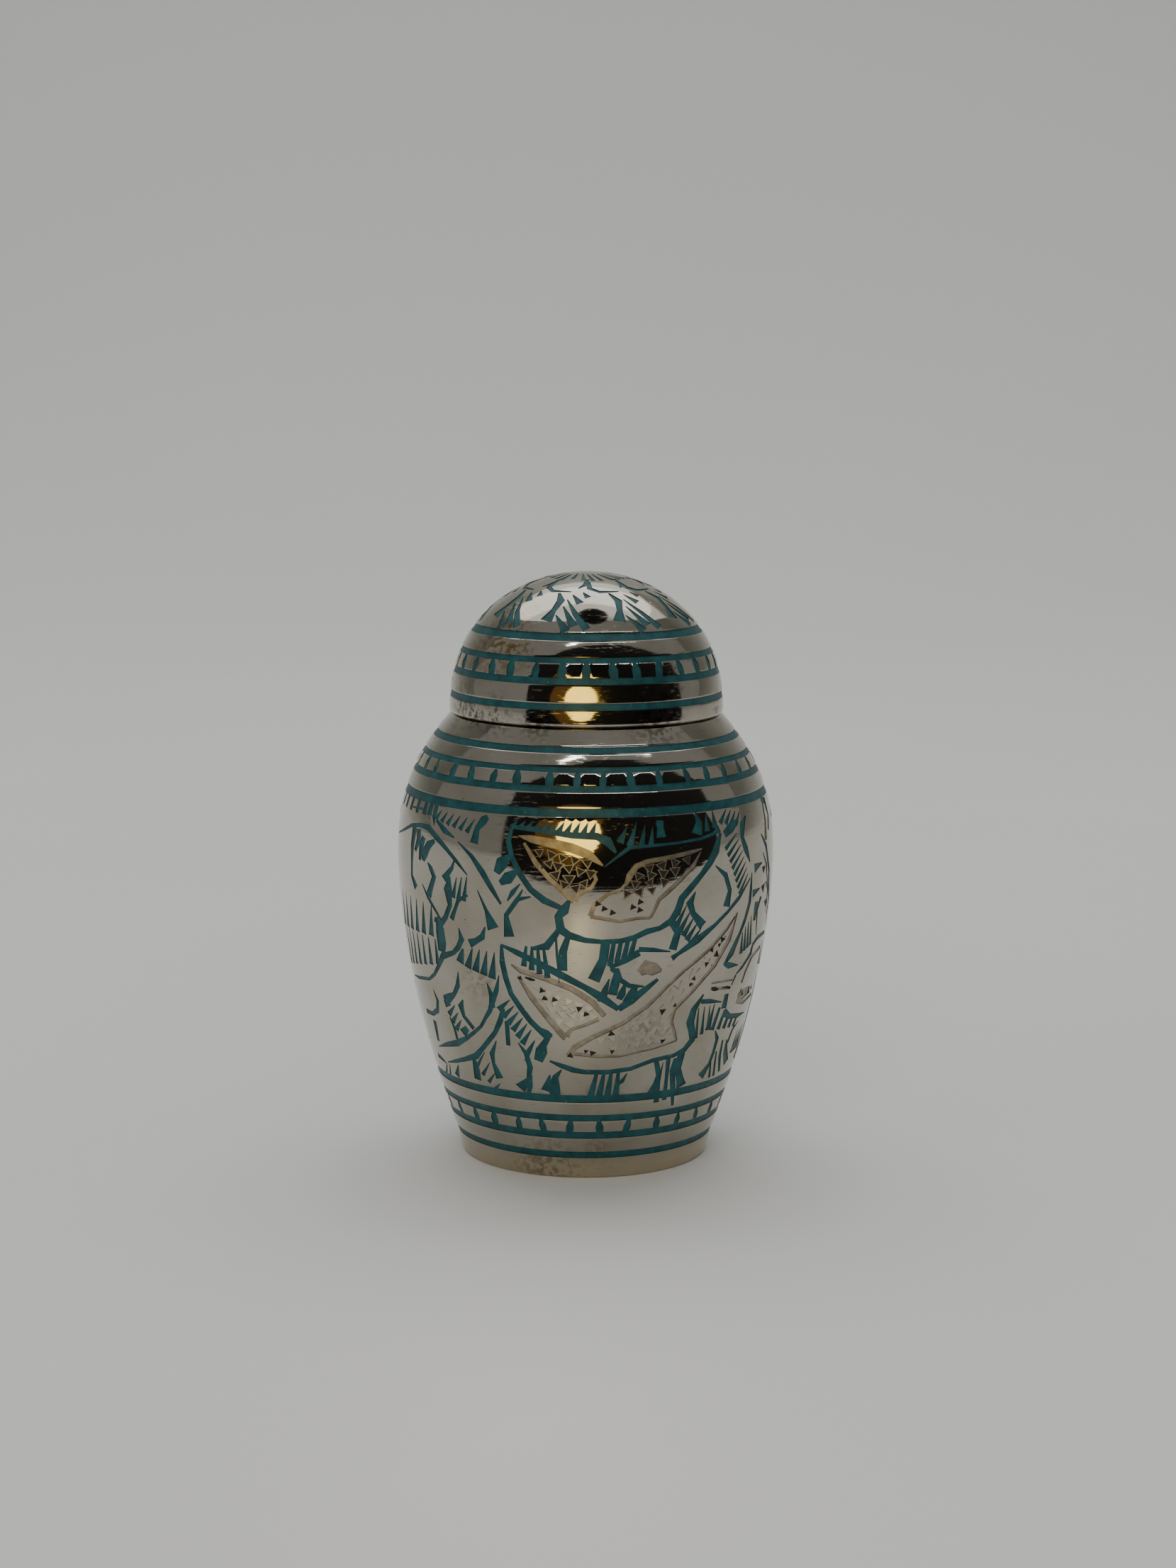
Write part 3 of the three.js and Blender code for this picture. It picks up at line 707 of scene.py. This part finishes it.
def row_heights(low, high, skin):
    """heights of the sheet's rows: ring edges, their rolled lips and what lies between"""
    marks = {low, high}
    for bands, width in ((skin.rings, LIP_WIDTH), (skin.edges, EDGE_WIDTH)):
        for band_low, band_high in bands:
            marks |= {band_low, band_high}
            for share in LIP_SHARES:
                marks |= {band_low - share * width, band_high + share * width}
    marks = sorted(mark for mark in marks if low <= mark <= high)
    rows = []
    for below, above in zip(marks, marks[1:]):
        rows += evenly(below, above, ROW_STEP)[:-1]
    return rows + [high]


def in_ring(z, rings):
    return any(low < z < high for low, high in rings)


def anticlockwise(outline):
    """the outline, turned round if its places run clockwise"""
    area = sum(a.cross(b) for a, b in zip(outline, outline[1:] + outline[:1]))
    return outline if area > 0 else outline[::-1]


def engraved_sheet(skin, places, fences, cuts):
    """a flat sheet on the chart, split along fences and cuts, with the cuts sunk and each face's kind set"""
    spots = [place.copy() for place in places]
    outlines = []
    for _, outline in cuts:
        start = len(spots)
        spots += anticlockwise(outline)
        outlines.append(list(range(start, len(spots))))
    tolerance = 1e-5
    flat, _, triangles, _, _, sources = delaunay_2d_cdt(spots, fences, outlines, 0, tolerance)
    sheet = bmesh.new()
    wall = sheet.faces.layers.int.new("wall")
    facet = sheet.faces.layers.int.new("facet")
    corners = [sheet.verts.new((spot.x, spot.y, 0)) for spot in flat]
    for triangle, inside in zip(triangles, sources):
        face = sheet.faces.new([corners[i] for i in triangle])
        kinds = {cuts[i][0]: i for i in inside}
        _, z = skin.outline(face.calc_center_median().xy)
        if in_ring(z, skin.rings) or ENAMEL in kinds:
            face.material_index = ENAMEL
        elif GRIME in kinds:
            face.material_index = GRIME
        elif BARE in kinds:
            face.material_index = BARE
        elif FACET in kinds:
            face[facet] = kinds[FACET] + 1
    bmesh.ops.delete(sheet, geom=[v for v in sheet.verts if not v.link_faces], context="VERTS")
    bmesh.ops.recalc_face_normals(sheet, faces=sheet.faces)
    if sheet.faces[0].normal.z < 0:
        bmesh.ops.reverse_faces(sheet, faces=sheet.faces)
    sink(sheet, [f for f in sheet.faces if f.material_index == ENAMEL], ENAMEL_DEPTH, PLATE)
    sink(sheet, [f for f in sheet.faces if f[facet]], BARE_DEPTH, BARE)
    bare = [f for f in sheet.faces if f.material_index in (BARE, GRIME) and not f[facet] and not f[wall]]
    sink(sheet, bare, BARE_DEPTH, GRIME)
    for face in sheet.faces:
        if face[facet] and not face[wall]:
            _, outline = cuts[face[facet] - 1]
            for vert in face.verts:
                vert.co.z = -facet_depth(outline, vert.co.xy)
    if skin.seamed:
        open_seams(sheet, min(place.x for place in places), max(place.x for place in places))
    return sheet


def open_seams(sheet, *ends):
    """takes away the cuts' walls at the sheet's ends, where a cut runs on into the other half"""
    wall = sheet.faces.layers.int["wall"]
    near_end = 1e-4
    for end in ends:
        seam = [f for f in sheet.faces if f[wall] and all(abs(v.co.x - end) < near_end for v in f.verts)]
        bmesh.ops.delete(sheet, geom=seam, context="FACES")


def sink(sheet, faces, depth, wall_kind):
    """pushes faces down, with upright walls round them"""
    wall = sheet.faces.layers.int["wall"]
    facet = sheet.faces.layers.int["facet"]
    before = set(sheet.faces)
    made = bmesh.ops.extrude_face_region(sheet, geom=faces)["geom"]
    floor = {item for item in made if isinstance(item, bmesh.types.BMFace)}
    for item in made:
        if isinstance(item, bmesh.types.BMVert):
            item.co.z = -depth
    for face in sheet.faces:
        if face not in before and face not in floor:
            face.material_index = wall_kind
            face[wall] = 1
            face[facet] = 0
    bmesh.ops.delete(sheet, geom=faces, context="FACES")


def rolled(skin, sheet):
    """wraps a sheet onto its skin"""
    for vert in sheet.verts:
        chart = Vector((vert.co.x, vert.co.y))
        vert.co = placed(skin, chart, vert.co.z)


def is_fenced(z, skin):
    """whether a row is the edge of a ring or the end of the skin, which no triangle may cross"""
    return z in (0, SEAT_HEIGHT) or any(z in ring for ring in skin.rings)


def body_sheet(skin):
    """half of the body's skin, then the other half a half turn round"""
    heights = row_heights(0, SEAT_HEIGHT, skin)
    columns = evenly(HALF_START, HALF_END, COLUMN_STEP)
    places = [skin.chart(degrees, z) for z in heights for degrees in columns]
    width = len(columns)
    fences = []
    for row, z in enumerate(heights):
        if is_fenced(z, skin):
            fences += [(row * width + i, row * width + i + 1) for i in range(width - 1)]
        if row:
            fences += [((row - 1) * width, row * width), (row * width - 1, (row + 1) * width - 1)]
    sheet = engraved_sheet(skin, places, fences, body_cuts(skin))
    rolled(skin, sheet)
    copy = bmesh.ops.duplicate(sheet, geom=sheet.verts[:] + sheet.edges[:] + sheet.faces[:])["geom"]
    verts = [item for item in copy if isinstance(item, bmesh.types.BMVert)]
    bmesh.ops.rotate(sheet, verts=verts, cent=(0, 0, 0), matrix=Matrix.Rotation(math.pi, 3, "Z"))
    return sheet


def lid_sheet(skin):
    """the whole skin of the lid, from rim to apex"""
    heights = row_heights(SEAT_HEIGHT, LID_RINGS[-1][1] + LIP_WIDTH, skin)
    columns = evenly(HALF_START, HALF_START + 360, COLUMN_STEP)[:-1]
    width = len(columns)
    places = [skin.chart(degrees, z) for z in heights for degrees in columns]
    fences = []
    for row, z in enumerate(heights):
        if is_fenced(z, skin):
            fences += [(row * width + i, row * width + (i + 1) % width) for i in range(width)]
    top_radius = skin.outline(skin.chart(0, heights[-1]))[0]
    for radius in evenly(0, top_radius, ROW_STEP)[1:-1]:
        count = max(6, round(2 * math.pi * radius / ROW_STEP))
        places += [skin.plan(i * 360 / count, radius) for i in range(count)]
    places.append(Vector((0, 0)))
    sheet = engraved_sheet(skin, places, fences, lid_cuts(skin))
    rolled(skin, sheet)
    return sheet


def add_turned(bm, profile):
    """spins (radius, height) points into a surface and marks its faces as plain turning"""
    plain = bm.faces.layers.int.get("plain") or bm.faces.layers.int.new("plain")
    before = set(bm.faces)
    verts = [bm.verts.new(turned(radius, HALF_START, z)) for radius, z in profile]
    edges = [bm.edges.new(pair) for pair in zip(verts, verts[1:])]
    bmesh.ops.spin(bm, geom=verts + edges, cent=(0, 0, 0), axis=(0, 0, 1), angle=2 * math.pi,
                   steps=360 // COLUMN_STEP, use_merge=True)
    for face in bm.faces:
        if face not in before:
            face[plain] = 1


def finish_piece(name, skin, bm, node):
    """joins the skin and the turned parts, sets the shading, hangs the piece on the root body and hides the
    part that it takes the place of
    """
    bmesh.ops.remove_doubles(bm, verts=bm.verts, dist=MERGE_DISTANCE)
    bmesh.ops.recalc_face_normals(bm, faces=bm.faces)
    wall = bm.faces.layers.int.get("wall")
    facet = bm.faces.layers.int.get("facet")
    plain = bm.faces.layers.int.get("plain")
    # A corner's normal is taken this share of the way in, so that it stays on its own side of a ring's edge,
    # but not where the middle is further off than any face is wide, across the chart's two ends
    pull = 0.03
    wrap = 20
    normals = []
    for face in bm.faces:
        face.smooth = True
        middle = skin.chart_of(face.calc_center_median())
        for loop in face.loops:
            if face[plain]:
                normals.append((0, 0, 0))
            elif face[wall] or face[facet]:
                normals.append(face.normal.copy())
            else:
                chart = skin.chart_of(loop.vert.co)
                if abs(middle.x - chart.x) < wrap:
                    chart += (middle - chart) * pull
                normals.append(skin_normal(skin, chart, face.material_index == PLATE))
    for edge in bm.edges:
        if edge.is_manifold and edge.calc_face_angle() > CREASE:
            edge.smooth = False
    bmesh.ops.scale(bm, vec=(MM, MM, MM), verts=bm.verts)
    mesh = bpy.data.meshes.new(name)
    bm.to_mesh(mesh)
    bm.free()
    mesh.normals_split_custom_set(normals)
    piece = bpy.data.objects.new(name, mesh)
    bpy.context.scene.collection.objects.link(piece)
    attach(piece, "root")
    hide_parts(node)
    return piece


def make_body():
    """the body: its engraved skin, the neck, the hollow inside and the underside"""
    skin = BodySkin()
    inside_step = 2
    bm = body_sheet(skin)
    bore = NECK_RADIUS - WALL
    crown = SEAT_HEIGHT - WALL
    seat_radius, seat_height, _ = turned_outline(skin, skin.chart(0, SEAT_HEIGHT))
    foot_radius, foot_height, _ = turned_outline(skin, skin.chart(0, 0))
    neck = [(seat_radius, seat_height), (seat_radius - LEDGE, SEAT_HEIGHT), (NECK_RADIUS, SEAT_HEIGHT),
            (NECK_RADIUS, NECK_TOP - NECK_CHAMFER), (NECK_RADIUS - NECK_CHAMFER, NECK_TOP),
            (bore, NECK_TOP), (bore, crown)]
    inside = [(body_outline(z) - WALL, z) for z in evenly(FLOOR, crown - WALL, inside_step)[::-1]]
    add_turned(bm, neck + inside + [(0, FLOOR)])
    add_turned(bm, [(0, 0), (foot_radius / 2, 0), (foot_radius - LEDGE, 0), (foot_radius, foot_height)])
    return finish_piece("urn_body_engraved", skin, bm, "urn_body")


def make_lid():
    """the lid: its engraved skin, the rim and the hollow inside"""
    skin = LidSkin()
    inside_step = 0.8
    bm = lid_sheet(skin)
    socket = NECK_RADIUS + LID_CLEARANCE
    inside = []
    for z in evenly(NECK_TOP + LID_CLEARANCE, LID_TOP - WALL, inside_step)[:-1]:
        rise = (z - SEAT_HEIGHT) / (LID_HEIGHT - WALL)
        inside.append((min(socket, (LID_RADIUS - WALL) * math.sqrt(1 - rise ** DOME_FULLNESS)), z))
    rim_radius, rim_height, _ = turned_outline(skin, skin.chart(0, SEAT_HEIGHT))
    rim = [(rim_radius, rim_height), (rim_radius - LEDGE, SEAT_HEIGHT), (socket, SEAT_HEIGHT)]
    add_turned(bm, rim + inside + [(0, LID_TOP - WALL)])
    return finish_piece("lid_engraved", skin, bm, "lid")


urn_body = make_body()
lid = make_lid()


# Materials
def linear(hex_colour):
    """an sRGB hex colour as linear values with full alpha"""
    values = []
    for i in (1, 3, 5):
        value = int(hex_colour[i:i + 2], 16) / 255
        values.append(value / 12.92 if value <= 0.04045 else ((value + 0.055) / 1.055) ** 2.4)
    return (*values, 1)


def add_node(tree, kind, settings=None, links=None):
    """adds a node, with its properties and socket values, and links from other nodes' sockets"""
    node = tree.nodes.new(kind)
    for key, value in (settings or {}).items():
        if isinstance(key, int) or key in node.inputs:
            node.inputs[key].default_value = value
        else:
            setattr(node, key, value)
    for key, source in (links or {}).items():
        tree.links.new(source, node.inputs[key])
    return node


def new_material(name, settings):
    """a material and the settings of its shader"""
    material = bpy.data.materials.new(name)
    material.use_nodes = True
    shader = material.node_tree.nodes["Principled BSDF"]
    for key, value in settings.items():
        shader.inputs[key].default_value = value
    return material, material.node_tree, shader


def grains(tree, size_mm, stretch=(1, 1, 1), detail=2):
    """noise on the object, with grains of a real size"""
    where = add_node(tree, "ShaderNodeTexCoord").outputs["Object"]
    scale = tuple(1 / MM / size_mm / share for share in stretch)
    mapped = add_node(tree, "ShaderNodeMapping", {"Scale": scale}, {"Vector": where}).outputs["Vector"]
    noise = add_node(tree, "ShaderNodeTexNoise", {"Scale": 1, "Detail": detail}, {"Vector": mapped})
    return noise.outputs["Fac"]


def patches(tree, size_mm, low, high, least=0, most=1, stretch=(1, 1, 1), detail=2):
    """patches of a real size: the least where the noise is under low, and the most where it is over high"""
    settings = {"From Min": low, "From Max": high, "To Min": least, "To Max": most}
    noise = grains(tree, size_mm, stretch, detail)
    return add_node(tree, "ShaderNodeMapRange", settings, {"Value": noise}).outputs["Result"]


def along(tree, axis, start_mm, end_mm):
    """0 up to the start on an axis of the object, rising to 1 at the end"""
    where = add_node(tree, "ShaderNodeTexCoord").outputs["Object"]
    place = add_node(tree, "ShaderNodeSeparateXYZ", None, {0: where}).outputs[axis]
    settings = {"From Min": start_mm * MM, "From Max": end_mm * MM}
    return add_node(tree, "ShaderNodeMapRange", settings, {"Value": place}).outputs["Result"]


def near(tree, place, reach_mm):
    """1 at a place in millimetres, down to 0 at its reach"""
    where = add_node(tree, "ShaderNodeTexCoord").outputs["Object"]
    spot = tuple(value * MM for value in place)
    away = add_node(tree, "ShaderNodeVectorMath", {"operation": "DISTANCE", 1: spot}, {0: where})
    settings = {"From Max": reach_mm * MM, "To Min": 1, "To Max": 0}
    return add_node(tree, "ShaderNodeMapRange", settings, {"Value": away.outputs["Value"]}).outputs["Result"]


def overlap(tree, masks):
    """where all the masks are"""
    shared = masks[0]
    for mask in masks[1:]:
        shared = add_node(tree, "ShaderNodeMath", {"operation": "MULTIPLY"}, {0: shared, 1: mask}).outputs[0]
    return shared


def stained(tree, base, stain, *masks):
    """a colour that turns to a stain where all the masks are; each is a hex colour or a socket"""
    settings = {"data_type": "RGBA"}
    links = {"Factor": overlap(tree, masks)}
    for key, colour in ((6, base), (7, stain)):
        if isinstance(colour, str):
            settings[key] = linear(colour)
        else:
            links[key] = colour
    return add_node(tree, "ShaderNodeMix", settings, links).outputs[2]


def bumped(tree, shader, heights):
    """adds heights one over another, each a (value, depth in mm)"""
    normal = None
    for value, depth in heights:
        links = {"Height": value}
        if normal:
            links["Normal"] = normal
        normal = add_node(tree, "ShaderNodeBump", {"Distance": depth * MM}, links).outputs["Normal"]
    tree.links.new(normal, shader.inputs["Normal"])


def on_body(degrees, z):
    """a place on the body's skin"""
    return turned(body_outline(z), degrees, z)


def on_lid(degrees, z):
    """a place on the lid's skin"""
    skin = LidSkin()
    return placed(skin, skin.chart(degrees, z), with_lip=False)


# Stains on the plate: where each is, how far it reaches in millimetres, and its colour
STAINS = [
    (on_lid(-47, 66.6), 6, "#8C6E30"), (on_lid(-36, 66.2), 4, "#7E6532"),
    (on_lid(-64, 58.2), 4, "#5A5245"), (on_lid(-40, 57.8), 3.4, "#5A5245"),
    (on_lid(-52, 57.6), 2.4, "#3A332A"), (on_lid(30, 57.8), 5, "#5A5245"),
    (on_lid(72, 58), 2.6, "#3A332A"), (on_lid(-20, 57.4), 3, "#5A5245"),
    (on_body(-17, 1.3), 6, "#8F8062"), (on_body(6, 3.9), 2.4, "#93836F"),
    (on_body(-35, 26), 4, "#8C8374"), (on_body(20, 20), 4, "#8C8374"),
]


def nickel_plate():
    """Nickel plate over turned brass, buffed in the lathe: a grey mirror with fine rings, cloudy where it
    has tarnished, scuffed along the turning, and with brown stains and specks of old polish. Towards the foot
    it is painted lighter and warmer, in patches: painted light for a foot that mirrors shaded paper. The
    rings and scuffs are drawn coarser than real, so that they show."""
    material, tree, shader = new_material("polished nickel plate over brass", {
        "Metallic": 1, "Anisotropic": 0.7})
    clouds = patches(tree, 9, 0.42, 0.68, detail=5)
    colour = stained(tree, "#ADA89D", "#9E988A", clouds)
    # painted light: below 3.5 mm the plate is painted lighter and warmer, in patches, so that the foot, which
    # mirrors shaded paper, shows lighter
    lightened_foot_patches = patches(tree, 5, 0.35, 0.65, least=0.5, detail=4)
    colour = stained(tree, colour, "#BDB29A", along(tree, "Z", 3.5, 1.5), lightened_foot_patches)
    for place, reach, stain in STAINS:
        crust = patches(tree, 0.7, 0.47, 0.56, detail=4)
        colour = stained(tree, colour, stain, near(tree, place, reach), crust)
    scratches = patches(tree, 0.12, 0.68, 0.74, most=0.35, stretch=(18, 18, 1), detail=1)
    colour = stained(tree, colour, "#6E675A", scratches)
    specks = patches(tree, 0.42, 0.76, 0.8, detail=1), patches(tree, 6, 0.5, 0.6)
    tree.links.new(stained(tree, colour, "#3A3026", *specks), shader.inputs["Base Color"])
    polished = {"operation": "MULTIPLY_ADD", 1: 0.04, 2: 0.045}
    rough = add_node(tree, "ShaderNodeMath", polished, {0: clouds}).outputs[0]
    scuffs = overlap(tree, [patches(tree, 0.25, 0.56, 0.68, stretch=(5, 5, 1), detail=3),
                            patches(tree, 4, 0.42, 0.6, detail=3)])
    scuffed = {"operation": "MULTIPLY_ADD", 1: 0.24}
    rough = add_node(tree, "ShaderNodeMath", scuffed, {0: scuffs, 2: rough}).outputs[0]
    tree.links.new(rough, shader.inputs["Roughness"])
    rings = grains(tree, 0.3, stretch=(50, 50, 1))
    mottle = patches(tree, 0.9, 0.4, 0.75, detail=3)
    bumped(tree, shader, [(rings, 0.004), (mottle, 0.001)])
    return material


def teal_enamel():
    """Enamel laid into the cuts: teal, half matt and grainy, with specks that are rubbed pale."""
    material, tree, shader = new_material("teal enamel in cut lines", {
        "Roughness": 0.46, "Specular IOR Level": 0.3})
    colour = stained(tree, "#12464A", "#1E5A60", patches(tree, 1.6, 0.35, 0.65, detail=4))
    colour = stained(tree, colour, "#6F8A85", patches(tree, 0.35, 0.7, 0.76, detail=3))
    tree.links.new(colour, shader.inputs["Base Color"])
    bumped(tree, shader, [(grains(tree, 0.28, detail=3), 0.05)])
    return material


def bare_cut():
    """Metal cut after enamelling, which no polish reached: bright but unpolished, with a graver's chatter."""
    material, tree, shader = new_material("bright-cut metal, left bare", {"Metallic": 1, "Roughness": 0.52})
    colour = stained(tree, "#A8A194", "#8A8377", patches(tree, 1.1, 0.35, 0.65, detail=4))
    tree.links.new(colour, shader.inputs["Base Color"])
    bumped(tree, shader, [(grains(tree, 0.3), 0.02)])
    return material


def dark_residue():
    """Dried polish and grime in the smallest cuts: dull, brown-black."""
    material, tree, shader = new_material("dried polish in small cuts", {"Roughness": 0.7})
    colour = stained(tree, "#15110D", "#2C241A", patches(tree, 0.5, 0.35, 0.65, detail=3))
    tree.links.new(colour, shader.inputs["Base Color"])
    bumped(tree, shader, [(grains(tree, 0.2), 0.02)])
    return material


# A face's kind is the number of its finish, so they come in the order of PLATE, ENAMEL, BARE and GRIME
finishes = [nickel_plate(), teal_enamel(), bare_cut(), dark_residue()]
for piece in (urn_body, lid):
    for finish in finishes:
        piece.data.materials.append(finish)


# Floor, flags, lights and camera, in metres
def make_mesh_object(name, bm):
    """a studio thing from its mesh"""
    mesh = bpy.data.meshes.new(name)
    bm.to_mesh(mesh)
    bm.free()
    made = bpy.data.objects.new(name, mesh)
    bpy.context.scene.collection.objects.link(made)
    return made


def shift_new(bm, made, offset):
    """moves the vertices that an operator has just made"""
    verts = [item for item in made if isinstance(item, bmesh.types.BMVert)]
    bmesh.ops.translate(bm, vec=offset, verts=verts)


def make_floor():
    """a matt paper floor that turns up into a backdrop, with painted shade that greys it towards the back,
    where the light falls off
    """
    side, bend_start, bend_radius, top = 3, 0.7, 0.5, 3
    bm = bmesh.new()
    corners = [bm.verts.new((-side, y, 0)) for y in (-side, bend_start)]
    bm.edges.new(corners)
    bend = bmesh.ops.spin(bm, geom=[corners[1]], cent=(-side, bend_start, bend_radius), axis=(1, 0, 0),
                          angle=math.pi / 2, steps=24)["geom_last"]
    end = next(item for item in bend if isinstance(item, bmesh.types.BMVert))
    bm.edges.new((end, bm.verts.new((-side, end.co.y, top))))
    shift_new(bm, bmesh.ops.extrude_edge_only(bm, edges=bm.edges[:])["geom"], (2 * side, 0, 0))
    bmesh.ops.remove_doubles(bm, verts=bm.verts, dist=0.0001)
    bmesh.ops.recalc_face_normals(bm, faces=bm.faces)
    for face in bm.faces:
        face.smooth = True
    floor = make_mesh_object("floor", bm)
    material, tree, shader = new_material("matt paper floor", {"Roughness": 0.85})
    paper = stained(tree, "#E5E5E2", "#ECECEA", patches(tree, 260, 0.3, 0.7))
    # painted shade: from 0.1 m to 1.2 m back the paper is painted greyer, standing in for light that falls
    # off towards the back
    paper = stained(tree, paper, "#C7C8C3", along(tree, "Y", 100, 1200))
    tree.links.new(paper, shader.inputs["Base Color"])
    floor.data.materials.append(material)


def hide_but_for_gloss(thing):
    """leaves a studio thing to be seen in polished metal alone"""
    thing.visible_camera = False
    thing.visible_diffuse = False
    thing.visible_shadow = False


def make_flag():
    """a black studio flag before the urn, so that the polished metal has something dark to mirror"""
    left, width, away, low, high, turn = -0.35, 0.84, 0.17, 0.002, 0.31, math.radians(14)
    bm = bmesh.new()
    edge = bm.edges.new([bm.verts.new((left, -away, z)) for z in (low, high)])
    shift_new(bm, bmesh.ops.extrude_edge_only(bm, edges=[edge])["geom"], (width, 0, 0))
    bmesh.ops.rotate(bm, verts=bm.verts, cent=(0, 0, 0), matrix=Matrix.Rotation(turn, 3, "Z"))
    flag = make_mesh_object("studio_flag", bm)
    material, _, _ = new_material("black flock", {"Base Color": linear("#0A0A0A"), "Roughness": 0.9})
    flag.data.materials.append(material)
    hide_but_for_gloss(flag)


def make_top_flag():
    """a small round flag over the urn, which gives the dome a dark centre to mirror"""
    bm = bmesh.new()
    bmesh.ops.create_circle(bm, cap_ends=True, segments=48, radius=0.064)
    bmesh.ops.translate(bm, vec=(0.025, -0.01, 0.45), verts=bm.verts)
    flag = make_mesh_object("top_flag", bm)
    flag.data.materials.append(bpy.data.materials["black flock"])
    hide_but_for_gloss(flag)


def make_glow():
    """the soft warm pool of light before the urn, as the polished metal mirrors it"""
    bm = bmesh.new()
    bmesh.ops.create_grid(bm, x_segments=1, y_segments=1, size=0.09)
    bmesh.ops.translate(bm, vec=(-0.006, -0.1, 0.001), verts=bm.verts)
    glow = make_mesh_object("warm_glow", bm)
    material, tree, shader = new_material("warm light on the paper", {})
    tree.nodes.remove(shader)
    where = add_node(tree, "ShaderNodeTexCoord").outputs["Object"]
    pool = {"Location": (0.15, 1.2, 0), "Scale": (25, 12, 1)}
    centred = add_node(tree, "ShaderNodeMapping", pool, {"Vector": where}).outputs["Vector"]
    falloff = add_node(tree, "ShaderNodeTexGradient", {
        "gradient_type": "QUADRATIC_SPHERE"}, {"Vector": centred})
    strength = falloff.outputs["Fac"]
    light = add_node(tree, "ShaderNodeEmission", {"Color": linear("#F4E4BE")}, {"Strength": strength})
    clear = add_node(tree, "ShaderNodeBsdfTransparent")
    both = add_node(tree, "ShaderNodeAddShader", None, {0: light.outputs[0], 1: clear.outputs[0]})
    tree.links.new(both.outputs[0], tree.nodes["Material Output"].inputs["Surface"])
    glow.data.materials.append(material)
    hide_but_for_gloss(glow)


def make_light(name, place, aim, size, watts, colour, shape="RECTANGLE"):
    """a flat lamp that the camera doesn't see"""
    data = bpy.data.lights.new(name, "AREA")
    data.shape = shape
    data.size, data.size_y = size
    data.energy = watts
    data.color = linear(colour)[:3]
    light = bpy.data.objects.new(name, data)
    light.location = place
    light.rotation_euler = (Vector(aim) - Vector(place)).to_track_quat("-Z", "Y").to_euler()
    light.visible_camera = False
    bpy.context.scene.collection.objects.link(light)
    return light


def make_lights():
    """soft light from above and behind, a fill that no gloss mirrors, and three that gloss alone mirrors"""
    above = (-0.04, 0.58)
    shoulder = (0, 0, 0.05)
    make_light("overhead_softbox", (*above, 1.1), (*above, 0), (1.5, 1.36), 5.2, "#FBFBFF", "ELLIPSE")
    strip = make_light("front_strip", (0.07, -0.17, 0.4), (0.02, 0, 0.05), (0.36, 0.012), 0.22, "#FFFFFF")
    make_light("ceiling_softbox", (0, 1.1, 1.5), (0, 0.2, 0), (2.6, 1.4), 12, "#F6F7F8")
    fill = make_light("front_fill", (-0.2, -1.1, 0.9), (0, 0, 0.04), (0.8, 0.8), 3.4, "#FFFDF8")
    warm = make_light("small_warm_panel", (-0.012, -0.165, 0.078), shoulder, (0.075, 0.075), 0.07,
                      "#FFDA6C", "ELLIPSE")
    halo = make_light("warm_halo", (-0.015, -0.168, 0.08), shoulder, (0.15, 0.11), 0.012,
                      "#C98F3A", "ELLIPSE")
    fill.visible_glossy = False
    for light in (strip, warm, halo):
        light.visible_diffuse = False


def make_world():
    """an even grey room"""
    world = bpy.data.worlds.new("studio")
    world.use_nodes = True
    room = world.node_tree.nodes["Background"]
    room.inputs["Color"].default_value = linear("#8B8B89")
    room.inputs["Strength"].default_value = 1.25
    bpy.context.scene.world = world


def make_camera():
    """stands where the photograph was taken from"""
    data = bpy.data.cameras.new("camera")
    data.sensor_width = 36
    data.lens = 66.4
    camera = bpy.data.objects.new("camera", data)
    place, yaw, pitch, roll = (0, -0.36487, 0.10369), -0.0007, 0.1533, 0.0049
    tilt = Matrix.Rotation(math.pi / 2 - pitch, 4, "X")
    turn = Matrix.Rotation(yaw, 4, "Z") @ tilt @ Matrix.Rotation(roll, 4, "Z")
    camera.matrix_world = Matrix.Translation(place) @ turn
    bpy.context.scene.collection.objects.link(camera)
    bpy.context.scene.camera = camera


make_floor()
make_flag()
make_top_flag()
make_glow()
make_lights()
make_world()
make_camera()

bpy.context.view_layer.update()
